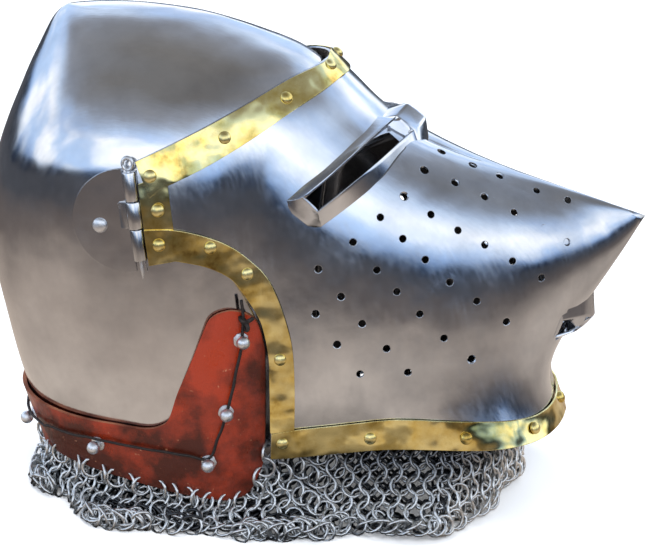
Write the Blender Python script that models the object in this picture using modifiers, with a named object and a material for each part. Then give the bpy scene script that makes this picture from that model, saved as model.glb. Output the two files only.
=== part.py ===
"""A hounskull bascinet: pointed skull, pig-faced visor on pinned pivots, brass bands and a mail aventail.

Frame: +X is the wearer's left, the snout points to -Y, +Z is up, and the helmet stands on Z = 0.
All lengths are metres.
"""
from math import atan2, cos, pi, sin, sqrt

import bmesh
import bpy
from mathutils import Matrix, Vector
from mathutils.bvhtree import BVHTree

# Driving dimensions of the skull and the face
SKULL_LENGTH = 0.215
SKULL_WIDTH = 0.191
SKULL_HEIGHT = 0.264
SKULL_FOOT = 0.034
SKULL_WALL = 0.0016
FACE_REACH = 0.2194
VISOR_WALL = 0.0016
VISOR_STAND = 0.0062
SEAT_GAP = 0.0003
BORE_REACH = 0.012

# Openings in the visor
BREATH_DIAMETER = 0.0044
SIGHT_LIP = 0.0012
SIGHT_SINK = 0.0012
SIGHT_DEPTH = 0.030
MOUTH_STAND = 0.0092
MOUTH_SINK = 0.0012
MOUTH_LIP = 0.0015
MOUTH_DEPTH = 0.022

# Brass
BAND_THICKNESS = 0.001
BAND_GAP = 0.0005
BRASS_RIVET_DIAMETER = 0.0073
BRASS_RIVET_HEIGHT = 0.0024

# Hinges and pivots
PIN_DIAMETER = 0.0024
PIN_CLEARANCE = 0.0004
KNUCKLE_DIAMETER = 0.0078
KNUCKLE_GAP = 0.0004
KNUCKLE_STAND = 0.0005
LEAF_THICKNESS = 0.001
LEAF_REACH = 0.020
PIN_RING_DIAMETER = 0.0058
PIN_RING_WIRE = 0.0019
PIN_TAIL = 0.011
PLATE_THICKNESS = 0.0012
PLATE_RADIUS = 0.031
PIVOT_HEAD_DIAMETER = 0.0088
PIVOT_HEAD_HEIGHT = 0.0026
PIVOT_SHANK_DIAMETER = 0.004

# Leather, lace and mail
LEATHER_THICKNESS = 0.0024
LEATHER_STAND = 0.0012
VERVELLE_BALL = 0.008
VERVELLE_NECK = 0.0034
LACE_DIAMETER = 0.0022
LACE_KNOT = 0.0056
LACE_LIFT = 0.0006
VERVELLE_CLEARANCE = 0.0012
COLLAR_THICKNESS = 0.0007
MAIL_THICKNESS = 0.006
MAIL_SPREAD = 0.016
MAIL_BELLY = 0.008
MAIL_TUCK = 0.0013

# Skull sections: height share, then front, back, width and widest place as shares of the half sizes, and fullness
SKULL_SECTIONS = [
    (-0.080, -1.000, 0.700, 0.930, -0.36, 2.40),
    (0.000, -1.000, 0.745, 0.945, -0.33, 2.40),
    (0.080, -1.000, 0.810, 0.955, -0.30, 2.40),
    (0.175, -1.000, 0.880, 0.965, -0.24, 2.40),
    (0.290, -1.000, 0.935, 0.980, -0.14, 2.40),
    (0.400, -1.000, 0.980, 0.992, -0.04, 2.40),
    (0.495, -1.000, 1.000, 0.998, 0.03, 2.40),
    (0.590, -1.000, 0.980, 1.000, 0.07, 2.35),
    (0.685, -1.000, 0.925, 0.985, 0.08, 2.25),
    (0.760, -1.000, 0.860, 0.930, 0.09, 2.10),
    (0.818, -0.985, 0.800, 0.840, 0.10, 1.95),
    (0.864, -0.930, 0.753, 0.735, 0.12, 1.80),
    (0.902, -0.815, 0.707, 0.615, 0.14, 1.70),
    (0.936, -0.615, 0.665, 0.480, 0.17, 1.60),
    (0.962, -0.430, 0.628, 0.345, 0.20, 1.55),
    (0.981, -0.260, 0.586, 0.225, 0.22, 1.50),
    (0.9924, -0.080, 0.540, 0.130, 0.24, 1.50),
]
APEX_PLACE = 0.25
FRONT_FULLNESS = 2.2
BACK_FULLNESS = 2.5

# Side-view places are pairs: reach in front of the join line (share of the face reach, or of the skull length
# behind it), and height above the skull's foot (share of the skull height)
JOIN_SHARE = 0.67
TIP_HEIGHT = 0.545

# Visor sections: height, front reach, then widths at five steps from the ridge as shares of the width at the join
WIDTH_STEPS = [0.0, 0.20, 0.35, 0.50, 0.67, 0.84, 1.0]
SNOUT_BELOW = [
    (0.038, 0.814, 0.430, 0.66, 0.760, 0.80, 0.870),
    (0.106, 0.775, 0.400, 0.63, 0.740, 0.80, 0.880),
    (0.174, 0.754, 0.330, 0.54, 0.680, 0.79, 0.890),
    (0.242, 0.789, 0.260, 0.46, 0.635, 0.785, 0.900),
    (0.356, 0.871, 0.190, 0.38, 0.565, 0.75, 0.895),
    (0.458, 0.943, 0.125, 0.29, 0.480, 0.69, 0.875),
    (0.545, 1.000, 0.065, 0.20, 0.375, 0.60, 0.840),
]
SNOUT_ABOVE = [
    (0.545, 1.000, 0.065, 0.20, 0.375, 0.60, 0.840),
    (0.591, 0.825, 0.085, 0.20, 0.370, 0.60, 0.830),
    (0.644, 0.615, 0.110, 0.24, 0.410, 0.62, 0.830),
    (0.697, 0.410, 0.150, 0.30, 0.470, 0.66, 0.830),
    (0.773, 0.285, 0.190, 0.35, 0.515, 0.68, 0.840),
    (0.837, 0.203, 0.220, 0.38, 0.530, 0.69, 0.840),
    (0.913, 0.114, 0.220, 0.38, 0.540, 0.70, 0.850),
]
VISOR_LEVELS = [0.0, 0.055, 0.106, 0.174, 0.208, 0.242, 0.299, 0.356, 0.407, 0.458, 0.502, 0.545,
                0.591, 0.644, 0.697, 0.735, 0.773, 0.805, 0.837, 0.875, 0.935]
VISOR_REAR = [-0.37, -0.25, -0.12]
VISOR_STEPS = [1.0, 0.86, 0.72, 0.59, 0.46, 0.34, 0.23, 0.12, 0.0]

# Outlines in the side view
BOTTOM_EDGE = [(0.784, 0.059), (0.597, 0.053), (0.351, 0.056), (0.214, 0.048), (0.077, 0.040)]
BOTTOM_CORNER = (0.026, 0.040)
CHEEK_EDGE = [(0.024, 0.223), (0.019, 0.295), (0.005, 0.352), (-0.012, 0.390), (-0.044, 0.438),
              (-0.076, 0.475), (-0.137, 0.504), (-0.213, 0.519)]
BROW_EDGE = [(-0.180, 0.787), (-0.061, 0.833), (0.051, 0.875), (0.134, 0.894)]
BROW_BAND_EDGE = [(-0.297, 0.661), (-0.151, 0.716), (-0.030, 0.769), (0.083, 0.824), (0.175, 0.861)]
HINGE_BAND_EDGE = [(-0.214, 0.588), (-0.236, 0.684)]
CHEEK_BAND_EDGE = [(-0.298, 0.588), (-0.214, 0.588), (-0.123, 0.567), (-0.053, 0.532), (0.011, 0.473),
                   (0.036, 0.436), (0.058, 0.388), (0.079, 0.323), (0.087, 0.267), (0.090, 0.195)]
BOTTOM_BAND_EDGE = [(0.029, 0.101), (0.089, 0.108), (0.214, 0.117), (0.323, 0.126), (0.392, 0.127),
                    (0.542, 0.119), (0.649, 0.113), (0.730, 0.108)]
FACE_OPENING = [(0.046, -0.300), (0.046, 0.098), (0.059, 0.288), (0.077, 0.477), (0.105, 0.610),
                (0.119, 0.712), (0.155, 0.765)]
LEATHER_TOP = [(-0.900, 0.114), (-0.558, 0.108), (-0.408, 0.108), (-0.322, 0.105), (-0.273, 0.117),
               (-0.249, 0.139), (-0.224, 0.200), (-0.186, 0.272), (-0.155, 0.336), (-0.133, 0.377),
               (-0.097, 0.392), (-0.061, 0.391), (-0.021, 0.372), (-0.004, 0.342), (0.008, 0.291)]
LEATHER_FOOT = [(0.008, 0.115), (0.002, 0.030), (-0.003, 0.011), (-0.033, -0.043), (-0.081, -0.062),
                (-0.128, -0.062), (-0.224, -0.053), (-0.326, -0.038), (-0.410, -0.027), (-0.558, -0.017),
                (-0.900, -0.015)]

# Fastenings, left side, mirrored to the right
BROW_RIVETS = [(-0.278, 0.706), (-0.094, 0.778), (0.046, 0.839), (0.138, 0.881)]
HINGE_RIVETS = [(-0.258, 0.633)]
CHEEK_RIVETS = [(-0.257, 0.556), (-0.126, 0.547), (-0.036, 0.480), (0.050, 0.277)]
BOTTOM_RIVETS = [(0.055, 0.077), (0.289, 0.084), (0.547, 0.083), (0.724, 0.084)]
CHIN_RIVET_HEIGHT = 0.084
VERVELLES = [(-0.059, 0.324), (-0.097, 0.157), (-0.143, 0.035), (-0.458, 0.052), (-0.688, 0.045)]
LACE_ROUTE = [(-0.064, 0.424), (-0.070, 0.375), (-0.076, 0.324), (-0.096, 0.235), (-0.116, 0.157),
              (-0.132, 0.100), (-0.158, 0.062), (-0.215, 0.056), (-0.305, 0.060), (-0.380, 0.065),
              (-0.458, 0.068), (-0.540, 0.065), (-0.610, 0.062)]
LACE_KNOT_PLACE = (-0.070, 0.375)
PIVOT = (-0.420, 0.588)
PLATE_CENTRE = (-0.351, 0.600)
PIN_TOP = (-0.336, 0.713)
PIN_FOOT = (-0.307, 0.517)
PIN_LEAN = 0.065
KNUCKLE_SPLITS = (0.36, 0.67)

# Breath holes, left side, mirrored to the right
BREATHS = [
    (0.361, 0.627), (0.305, 0.591), (0.238, 0.541), (0.367, 0.545), (0.149, 0.483), (0.301, 0.478),
    (0.209, 0.420), (0.354, 0.428), (0.143, 0.381), (0.265, 0.357), (0.415, 0.375), (0.200, 0.309),
    (0.330, 0.297), (0.261, 0.238), (0.387, 0.239), (0.491, 0.443), (0.563, 0.396), (0.642, 0.341),
    (0.480, 0.316), (0.553, 0.261), (0.440, 0.680), (0.404, 0.664), (0.528, 0.657), (0.488, 0.639),
    (0.603, 0.637), (0.569, 0.609), (0.434, 0.589), (0.508, 0.556), (0.651, 0.580), (0.705, 0.608),
    (0.738, 0.552), (0.580, 0.519), (0.426, 0.496), (0.654, 0.478), (0.731, 0.433), (0.791, 0.588),
    (0.870, 0.555), (0.801, 0.504),
]

# Sight frame from temple to ridge: foot below, foot above, rim below, rim above, rim width share of the half width
SIGHT = [
    ((0.155, 0.572), (0.074, 0.626), (0.149, 0.617), (0.109, 0.650), 0.827),
    ((0.201, 0.599), (0.114, 0.657), (0.190, 0.643), (0.148, 0.675), 0.770),
    ((0.247, 0.624), (0.152, 0.685), (0.229, 0.667), (0.186, 0.698), 0.686),
    ((0.292, 0.647), (0.190, 0.712), (0.267, 0.689), (0.223, 0.722), 0.592),
    ((0.331, 0.671), (0.224, 0.739), (0.304, 0.709), (0.259, 0.742), 0.461),
    ((0.368, 0.688), (0.256, 0.760), (0.340, 0.727), (0.293, 0.759), 0.293),
    ((0.397, 0.694), (0.276, 0.769), (0.375, 0.741), (0.326, 0.773), 0.105),
    ((0.410, 0.695), (0.280, 0.771), (0.397, 0.758), (0.346, 0.788), 0.0),
]
SIGHT_END = 5

# Mouth frame from corner to ridge: width share of the half width, height of the foot below, height and stand of
# the rim below, height and stand of the rim above, height of the foot above (stands are shares of the mouth's)
MOUTH = [
    (0.270, 0.262, 0.276, 0.15, 0.318, 0.15, 0.335),
    (0.240, 0.259, 0.276, 0.26, 0.318, 0.24, 0.338),
    (0.130, 0.250, 0.277, 0.50, 0.318, 0.58, 0.350),
    (0.031, 0.244, 0.278, 0.68, 0.318, 0.92, 0.360),
    (0.000, 0.243, 0.278, 0.72, 0.318, 1.00, 0.362),
]

# Mail, back to chin: top width and reach, top height, foot width and reach (shares; widths of the half width)
MAIL = [
    (0.000, -0.690, -0.030, 0.000, -0.735),
    (0.300, -0.675, -0.030, 0.370, -0.710),
    (0.600, -0.600, -0.030, 0.710, -0.635),
    (0.800, -0.465, -0.030, 0.960, -0.510),
    (0.905, -0.290, -0.030, 1.100, -0.350),
    (0.930, -0.150, -0.030, 1.130, -0.195),
    (0.900, -0.030, -0.030, 1.130, -0.060),
    (0.830, 0.060, -0.020, 1.110, 0.070),
    (0.730, 0.205, 0.070, 1.015, 0.205),
    (0.640, 0.365, 0.083, 1.047, 0.365),
    (0.570, 0.510, 0.083, 1.037, 0.500),
    (0.460, 0.602, 0.083, 0.650, 0.597),
    (0.250, 0.656, 0.083, 0.377, 0.656),
    (0.000, 0.675, 0.083, 0.000, 0.702),
]
MAIL_WAIST = 0.5
MAIL_WAIST_OUT = 0.12

# Derived places
HALF_LENGTH = SKULL_LENGTH / 2
HALF_WIDTH = SKULL_WIDTH / 2
MIDDLE_Y = (FACE_REACH - (1 - JOIN_SHARE) * HALF_LENGTH) / 2
JOIN_Y = MIDDLE_Y - JOIN_SHARE * HALF_LENGTH
FAR_AWAY = 2 * FACE_REACH
NEAR_MIDDLE = HALF_WIDTH / 10
RIDGE_SHARE = 0.2

PARTS = bpy.data.collections.new("hounskull_bascinet")
CUTTERS = bpy.data.collections.new("cutters")


# Curves through tables

def curve(places, values):
    """A smooth function through the points that never overshoots them."""
    steps = [b - a for a, b in zip(places, places[1:])]
    slopes = [(b - a) / s for a, b, s in zip(values, values[1:], steps)]
    lean = [slopes[0]]
    for a, b, g, h in zip(slopes, slopes[1:], steps, steps[1:]):
        if a * b > 0:
            first, second = 2 * h + g, h + 2 * g
            lean.append((first + second) / (first / a + second / b))
        else:
            lean.append(0.0)
    lean.append(slopes[-1])

    def value(x):
        if x <= places[0]:
            return values[0] + lean[0] * (x - places[0])
        if x >= places[-1]:
            return values[-1] + lean[-1] * (x - places[-1])
        i = max(k for k, place in enumerate(places) if place <= x)
        t = (x - places[i]) / steps[i]
        return ((1 + 2 * t) * (1 - t) ** 2 * values[i] + t * (1 - t) ** 2 * steps[i] * lean[i]
                + t * t * (3 - 2 * t) * values[i + 1] - t * t * (1 - t) * steps[i] * lean[i + 1])
    return value


def columns(table):
    return [curve([row[0] for row in table], [row[k] for row in table]) for k in range(1, len(table[0]))]


SKULL_CURVES = columns(SKULL_SECTIONS)
BELOW_CURVES = columns(SNOUT_BELOW)
ABOVE_CURVES = columns(SNOUT_ABOVE)


def side(place):
    """Y and Z of a side-view place."""
    reach, height = place
    scale = FACE_REACH if reach > 0 else SKULL_LENGTH
    return JOIN_Y - reach * scale, SKULL_FOOT + height * SKULL_HEIGHT


# Surfaces

def skull_section(z):
    share = (z - SKULL_FOOT) / SKULL_HEIGHT
    front, back, width, widest, fullness = [f(share) for f in SKULL_CURVES]
    return (MIDDLE_Y + front * HALF_LENGTH, MIDDLE_Y + back * HALF_LENGTH, width * HALF_WIDTH,
            MIDDLE_Y + widest * HALF_LENGTH, fullness)


def skull_x(y, z):
    """Half width of the skull's outside at a place in the side view."""
    front, back, width, widest, fullness = skull_section(z)
    if y < widest:
        t, power = (widest - y) / (widest - front), FRONT_FULLNESS
    else:
        t, power = (y - widest) / (back - widest), BACK_FULLNESS
    return width * (1 - min(t, 1.0) ** power) ** (1 / fullness)


def visor_x(y, z):
    """Half width of the visor's outside at a place in the side view."""
    if y >= JOIN_Y:
        return skull_x(y, z) + VISOR_STAND
    height = (z - SKULL_FOOT) / SKULL_HEIGHT
    front, *widths = [f(height) for f in (BELOW_CURVES if height <= TIP_HEIGHT else ABOVE_CURVES)]
    front_y = JOIN_Y - front * FACE_REACH
    step = sqrt(max(y - front_y, 0.0) / (JOIN_Y - front_y))
    share = curve(WIDTH_STEPS, [0.0] + widths + [1.0])(step)
    return share * (skull_x(JOIN_Y, z) + VISOR_STAND)


def normal_on(surface, y, z):
    """Outward direction of a surface on the left side."""
    d = 0.0005
    across = (surface(y + d, z) - surface(y - d, z)) / (2 * d)
    up = (surface(y, z + d) - surface(y, z - d)) / (2 * d)
    return Vector((1.0, -across, -up)).normalized()


def point_on(surface, place, lift=0.0):
    y, z = side(place)
    return Vector((surface(y, z), y, z)) + normal_on(surface, y, z) * lift


def mirrored(point):
    return Vector((-point.x, point.y, point.z))


def finder(surface):
    """A search tree over a half surface and its mirror image."""
    both = joined("finder", [surface, mirror_mesh(surface)])
    tree = BVHTree.FromPolygons([v.co for v in both.vertices], [tuple(p.vertices) for p in both.polygons])
    bpy.data.meshes.remove(both)
    return tree


def seat(tree, start, way, radius, out=None):
    """The lowest place where a disc clears a faceted surface, met from a start along a way, and its normal."""
    hit, normal, index, distance = tree.ray_cast(start, way)
    if out is None:
        out = normal if normal.dot(way) < 0 else -normal
    across = out.orthogonal().normalized()
    other = out.cross(across)
    rise = 0.0
    for k in range(8):
        turn = 2 * pi * k / 8
        spot = hit + (across * cos(turn) + other * sin(turn)) * radius
        near = tree.ray_cast(spot + out * radius * 4, -out)[0]
        if near is not None:
            rise = max(rise, (near - hit).dot(out))
    return hit + out * rise, out


def seat_left(tree, place, radius):
    y, z = side(place)
    return seat(tree, Vector((FAR_AWAY, y, z)), Vector((-1, 0, 0)), radius)


# Objects and materials

def material(name, colour, roughness, metallic):
    mat = bpy.data.materials.new(name)
    mat.use_nodes = True
    shader = mat.node_tree.nodes["Principled BSDF"]
    shader.inputs["Base Color"].default_value = (*colour, 1.0)
    shader.inputs["Roughness"].default_value = roughness
    shader.inputs["Metallic"].default_value = metallic
    return mat


STEEL = ((0.56, 0.56, 0.57), 0.18, 1.0)
BRASS = ((0.72, 0.52, 0.18), 0.28, 1.0)
LEATHER = ((0.25, 0.045, 0.02), 0.5, 0.0)
CORD = ((0.02, 0.018, 0.017), 0.8, 0.0)
IRON = ((0.34, 0.34, 0.35), 0.4, 1.0)


def add_object(name, mesh, finish, smooth=True):
    obj = bpy.data.objects.new(name, mesh)
    PARTS.objects.link(obj)
    mesh.materials.clear()
    mesh.materials.append(material(name + "_finish", *finish))
    for polygon in mesh.polygons:
        polygon.use_smooth = smooth
    return obj


def mesh_from(name, points, faces):
    bm = bmesh.new()
    verts = [bm.verts.new(p) for p in points]
    for face in faces:
        bm.faces.new([verts[i] for i in face])
    bmesh.ops.recalc_face_normals(bm, faces=bm.faces)
    bmesh.ops.triangulate(bm, faces=[f for f in bm.faces if not flat(f)])
    mesh = bpy.data.meshes.new(name)
    bm.to_mesh(mesh)
    bm.free()
    return mesh


def flat(face):
    """Whether all corners of a face lie in one plane."""
    middle = face.calc_center_median()
    return all(abs((v.co - middle).dot(face.normal)) < 0.000001 for v in face.verts)


def cutter_from(mesh):
    obj = bpy.data.objects.new("cutter_" + mesh.name, mesh)
    CUTTERS.objects.link(obj)
    obj.hide_render = True
    obj.display_type = "WIRE"
    return obj


def carve(obj, cutter, operation):
    modifier = obj.modifiers.new(operation.lower(), "BOOLEAN")
    modifier.operation = operation
    modifier.solver = "EXACT"
    modifier.object = cutter


def made_mesh(obj):
    """The mesh that an object's curve and modifiers make, in world places."""
    bpy.context.view_layer.update()
    evaluated = obj.evaluated_get(bpy.context.evaluated_depsgraph_get())
    mesh = bpy.data.meshes.new_from_object(evaluated)
    mesh.transform(obj.matrix_world)
    bm = bmesh.new()
    bm.from_mesh(mesh)
    bmesh.ops.remove_doubles(bm, verts=bm.verts, dist=0.000001)
    bmesh.ops.recalc_face_normals(bm, faces=bm.faces)
    bm.to_mesh(mesh)
    bm.free()
    bpy.data.objects.remove(obj)
    return mesh


def prism(name, outline, low=-FAR_AWAY, high=FAR_AWAY):
    """A closed block along X with an outline given as Y and Z."""
    data = bpy.data.curves.new(name, "CURVE")
    data.dimensions = "2D"
    data.fill_mode = "BOTH"
    data.extrude = (high - low) / 2
    spline = data.splines.new("POLY")
    spline.points.add(len(outline) - 1)
    for spot, (y, z) in zip(spline.points, outline):
        spot.co = (y, z, 0.0, 1.0)
    spline.use_cyclic_u = True
    obj = bpy.data.objects.new(name, data)
    CUTTERS.objects.link(obj)
    obj.location.x = (low + high) / 2
    obj.rotation_euler = (pi / 2, 0.0, pi / 2)
    return made_mesh(obj)


def loft(name, rings, closed=True):
    """A closed body through rings of points, with flat ends."""
    n = len(rings[0])
    points = [p for ring in rings for p in ring]
    faces = []
    for r in range(len(rings) - 1):
        faces += [[r * n + i, r * n + (i + 1) % n, (r + 1) * n + (i + 1) % n, (r + 1) * n + i] for i in range(n)]
    last = (len(rings) - 1) * n
    faces += [list(range(n)), list(range(last, last + n))]
    return mesh_from(name, points, faces)


def placed(mesh, point, direction):
    """Turn a mesh made along +Z to a direction and put its foot on a point."""
    turn = Vector((0, 0, 1)).rotation_difference(direction).to_matrix().to_4x4()
    mesh.transform(Matrix.Translation(point) @ turn)
    return mesh


def turned(name, profile, steps):
    """A turned body from a profile of radius and height."""
    mesh = bpy.data.meshes.new(name)
    mesh.from_pydata([(r, 0, h) for r, h in profile], [(i, i + 1) for i in range(len(profile) - 1)], [])
    obj = bpy.data.objects.new(name, mesh)
    CUTTERS.objects.link(obj)
    screw = obj.modifiers.new("turn", "SCREW")
    screw.steps = steps
    screw.render_steps = steps
    screw.use_merge_vertices = True
    screw.merge_threshold = 0.00001
    return made_mesh(obj)


def cylinder(name, radius, start, end, steps=12):
    bm = bmesh.new()
    bmesh.ops.create_cone(bm, cap_ends=True, segments=steps, radius1=radius, radius2=radius,
                          depth=(end - start).length)
    mesh = bpy.data.meshes.new(name)
    bm.to_mesh(mesh)
    bm.free()
    mesh.transform(Matrix.Translation(Vector((0, 0, (end - start).length / 2))))
    return placed(mesh, start, (end - start).normalized())


def joined(name, meshes):
    bm = bmesh.new()
    for mesh in meshes:
        bm.from_mesh(mesh)
    out = bpy.data.meshes.new(name)
    bm.to_mesh(out)
    bm.free()
    return out


def mirror_mesh(mesh):
    out = mesh.copy()
    out.transform(Matrix.Scale(-1, 4, Vector((1, 0, 0))))
    out.flip_normals()
    return out


def open_surface(name, rows, apex=None):
    """Half a surface on the left side, its outside facing away from the middle."""
    n = len(rows[0])
    points = [p for row in rows for p in row]
    faces = [[r * n + i, r * n + i + 1, (r + 1) * n + i + 1, (r + 1) * n + i]
             for r in range(len(rows) - 1) for i in range(n - 1)]
    if apex is not None:
        last = (len(rows) - 1) * n
        faces += [[last + i, last + i + 1, len(points)] for i in range(n - 1)]
        points.append(apex)
    mesh = bpy.data.meshes.new(name)
    mesh.from_pydata(points, [], faces)
    middle = mesh.polygons[len(mesh.polygons) // 2]
    if middle.normal.x < 0:
        mesh.flip_normals()
    return mesh


def sheet(name, surface, finish, wall, stand):
    """A sheet over the mirrored surface, its inner face a stand-off above it."""
    obj = add_object(name, surface.copy(), finish)
    mirror = obj.modifiers.new("mirror", "MIRROR")
    mirror.use_clip = True
    mirror.merge_threshold = 0.0001
    solid = obj.modifiers.new("wall", "SOLIDIFY")
    solid.thickness = wall
    solid.offset = 2 * (stand + wall / 2) / wall
    solid.use_even_offset = True
    solid.use_quality_normals = True
    return obj


# Skull and visor surfaces

def skull_rows(levels, ring):
    rows = []
    for share in levels:
        z = SKULL_FOOT + share * SKULL_HEIGHT
        front, back, width, widest, fullness = skull_section(z)
        row = []
        for k in range(2 * ring + 1):
            turn = pi * k / (2 * ring)
            y = widest - (widest - front) * cos(turn) if k <= ring else widest - (back - widest) * cos(turn)
            x = 0.0 if k in (0, 2 * ring) else skull_x(y, z)
            row.append(Vector((x, y, z)))
        rows.append(row)
    return rows


def skull_surface():
    levels = [0.0, 0.12, 0.25, 0.38, 0.50, 0.60, 0.685, 0.76, 0.818, 0.864, 0.902, 0.940, 0.972, 0.9924]
    apex = Vector((0, MIDDLE_Y + APEX_PLACE * HALF_LENGTH, SKULL_FOOT + SKULL_HEIGHT))
    return open_surface("skull_surface", skull_rows(levels, 6), apex)


def visor_surface():
    rows = []
    for height in VISOR_LEVELS:
        z = SKULL_FOOT + height * SKULL_HEIGHT
        front = (BELOW_CURVES if height <= TIP_HEIGHT else ABOVE_CURVES)[0](height)
        front_y = JOIN_Y - front * FACE_REACH
        row = [Vector((visor_x(side((reach, 0))[0], z), side((reach, 0))[0], z)) for reach in VISOR_REAR]
        for step in VISOR_STEPS:
            y = front_y + step * step * (JOIN_Y - front_y)
            row.append(Vector((visor_x(y, z) if step > 0 else 0.0, y, z)))
        rows.append(row)
    return open_surface("visor_surface", rows)


# Pin axes

def pin_axis(place):
    """A point of the left pin's axis at a side-view place."""
    y, z = side(place)
    pivot_z = side(PIVOT)[1]
    reach = skull_x(side(PIVOT)[0], pivot_z) + KNUCKLE_DIAMETER / 2 + KNUCKLE_STAND
    return Vector((reach - PIN_LEAN * (z - pivot_z), y, z))


def rear_edge():
    """The visor's rear edge, a clearance in front of the knuckles."""
    gap = KNUCKLE_DIAMETER / 2 + 2 * KNUCKLE_GAP
    top, foot = side(PIN_TOP), side(PIN_FOOT)
    lean = (top[0] - foot[0]) / (top[1] - foot[1])
    high, low = side((0, 0.735))[1], side((0, 0.508))[1]
    return [(foot[0] - gap + lean * (z - foot[1]), z) for z in (low, high)]


# Pieces

def make_skull(surface):
    skull = sheet("skull", surface, STEEL, SKULL_WALL, -SKULL_WALL)
    opening = [side(p) for p in FACE_OPENING]
    outline = [(opening[0][0] - FAR_AWAY, opening[0][1])] + opening + [(opening[0][0] - FAR_AWAY, opening[-1][1])]
    carve(skull, cutter_from(prism("face_opening", outline)), "DIFFERENCE")
    shanks = []
    bore = PIVOT_SHANK_DIAMETER / 2 + PIN_CLEARANCE
    for flip in (1, -1):
        y, z = side(PIVOT)
        reach = skull_x(y, z)
        start = Vector((flip * (reach - BORE_REACH), y, z))
        end = Vector((flip * (reach + BORE_REACH), y, z))
        shanks.append(cylinder("skull_bore", bore, start, end, 10))
    carve(skull, cutter_from(joined("skull_bores", shanks)), "DIFFERENCE")
    return skull


def visor_outline():
    rear = rear_edge()
    bottom = [side(p) for p in BOTTOM_EDGE]
    cheek = [side(p) for p in CHEEK_EDGE]
    brow = [side(p) for p in BROW_EDGE]
    front = JOIN_Y - FAR_AWAY
    return ([(front, bottom[0][1])] + bottom + [side(BOTTOM_CORNER)] + cheek + rear + brow
            + [(brow[-1][0], brow[-1][1] + FAR_AWAY), (front, brow[-1][1] + FAR_AWAY)])


def ridge_normal(z):
    """Outward direction of the visor's ridge line in the middle plane."""
    height = (z - SKULL_FOOT) / SKULL_HEIGHT
    reach = (BELOW_CURVES if height <= TIP_HEIGHT else ABOVE_CURVES)[0]
    step = 0.01
    lean = (reach(height + step) - reach(height - step)) * FACE_REACH / (2 * step * SKULL_HEIGHT)
    return Vector((0, -1, -lean)).normalized()


def sunk(y, z, width):
    """How far a foot of the sight frame is moved into the visor's sheet."""
    if width > RIDGE_SHARE:
        return normal_on(visor_x, y, z) * SIGHT_SINK
    return ridge_normal(z) * SIGHT_SINK


def sight_sections():
    """Foot, rim, rim and foot of the sight frame's cross-sections, from temple to ridge."""
    sections = []
    for below, above, rim_below, rim_above, width in SIGHT:
        rims = [Vector((width * HALF_WIDTH, *side(p))) for p in (rim_below, rim_above)]
        feet = []
        for place in (below, above):
            y, z = side(place)
            foot = Vector((visor_x(y, z) if width > 0 else 0.0, y, z))
            feet.append(foot - sunk(y, z, width))
        sections.append([feet[0], rims[0], rims[1], feet[1]])
    return sections


def sight_frame():
    left = sight_sections()
    right = [[mirrored(p) for p in ring] for ring in left[-2::-1]]
    return loft("sight_frame", left + right)


def slot_through(name, sections, lip, depth):
    """The hollow through a raised frame, open at the rim and into the visor."""
    rings = []
    for foot_low, rim_low, rim_high, foot_high in sections:
        across = (rim_high - rim_low).normalized() * lip
        low, high = rim_low + across, rim_high - across
        inward = ((foot_low + foot_high) / 2 - (rim_low + rim_high) / 2).normalized()
        rings.append([low + inward * depth, low - inward * lip, high - inward * lip, high + inward * depth])
    return loft(name, rings)


def sight_slot():
    sections = sight_sections()[:SIGHT_END + 1]
    share = SIGHT_LIP / (sections[1][1] - sections[0][1]).length
    sections[0] = [a.lerp(b, share) for a, b in zip(sections[0], sections[1])]
    return slot_through("sight_slot", sections, SIGHT_LIP, SIGHT_DEPTH)


def on_front(x, height, lift):
    """A point a lift in front of the visor at a half width and a height share."""
    z = SKULL_FOOT + height * SKULL_HEIGHT
    low, high = JOIN_Y - BELOW_CURVES[0](height) * FACE_REACH, JOIN_Y
    for step in range(30):
        middle = (low + high) / 2
        low, high = (middle, high) if visor_x(middle, z) < x else (low, middle)
    out = normal_on(visor_x, low, z) if x > 0 else ridge_normal(z)
    forward = Vector((0, out.y, out.z)).normalized()
    return Vector((x, low, z)) + forward * lift


def mouth_sections():
    sections = []
    for width, foot_low, rim_low, stand_low, rim_high, stand_high, foot_high in MOUTH:
        x = width * HALF_WIDTH
        sections.append([on_front(x, foot_low, -MOUTH_SINK), on_front(x, rim_low, stand_low * MOUTH_STAND),
                         on_front(x, rim_high, stand_high * MOUTH_STAND), on_front(x, foot_high, -MOUTH_SINK)])
    return sections


def mouth_frame():
    left = mouth_sections()
    right = [[mirrored(p) for p in ring] for ring in left[-2::-1]]
    return loft("mouth_frame", left + right)


def mouth_slot():
    return slot_through("mouth_slot", mouth_sections()[1:4], MOUTH_LIP, MOUTH_DEPTH)


def breath_holes():
    meshes = []
    for place in BREATHS:
        y, z = side(place)
        out = normal_on(visor_x, y, z)
        middle = Vector((visor_x(y, z), y, z))
        reach = VISOR_WALL * 2.5
        hole = cylinder("breath", BREATH_DIAMETER / 2, middle - out * reach, middle + out * reach, 6)
        meshes += [hole, mirror_mesh(hole)]
    return meshes


def make_visor(surface):
    visor = sheet("visor", surface, STEEL, VISOR_WALL, -VISOR_WALL)
    carve(visor, cutter_from(prism("visor_outline", visor_outline())), "INTERSECT")
    carve(visor, cutter_from(joined("raised_frames", [sight_frame(), mouth_frame()])), "UNION")
    slots = [sight_slot(), mouth_slot()]
    holes = slots + [mirror_mesh(slot) for slot in slots] + breath_holes()
    carve(visor, cutter_from(joined("visor_holes", holes)), "DIFFERENCE")
    return visor


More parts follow.
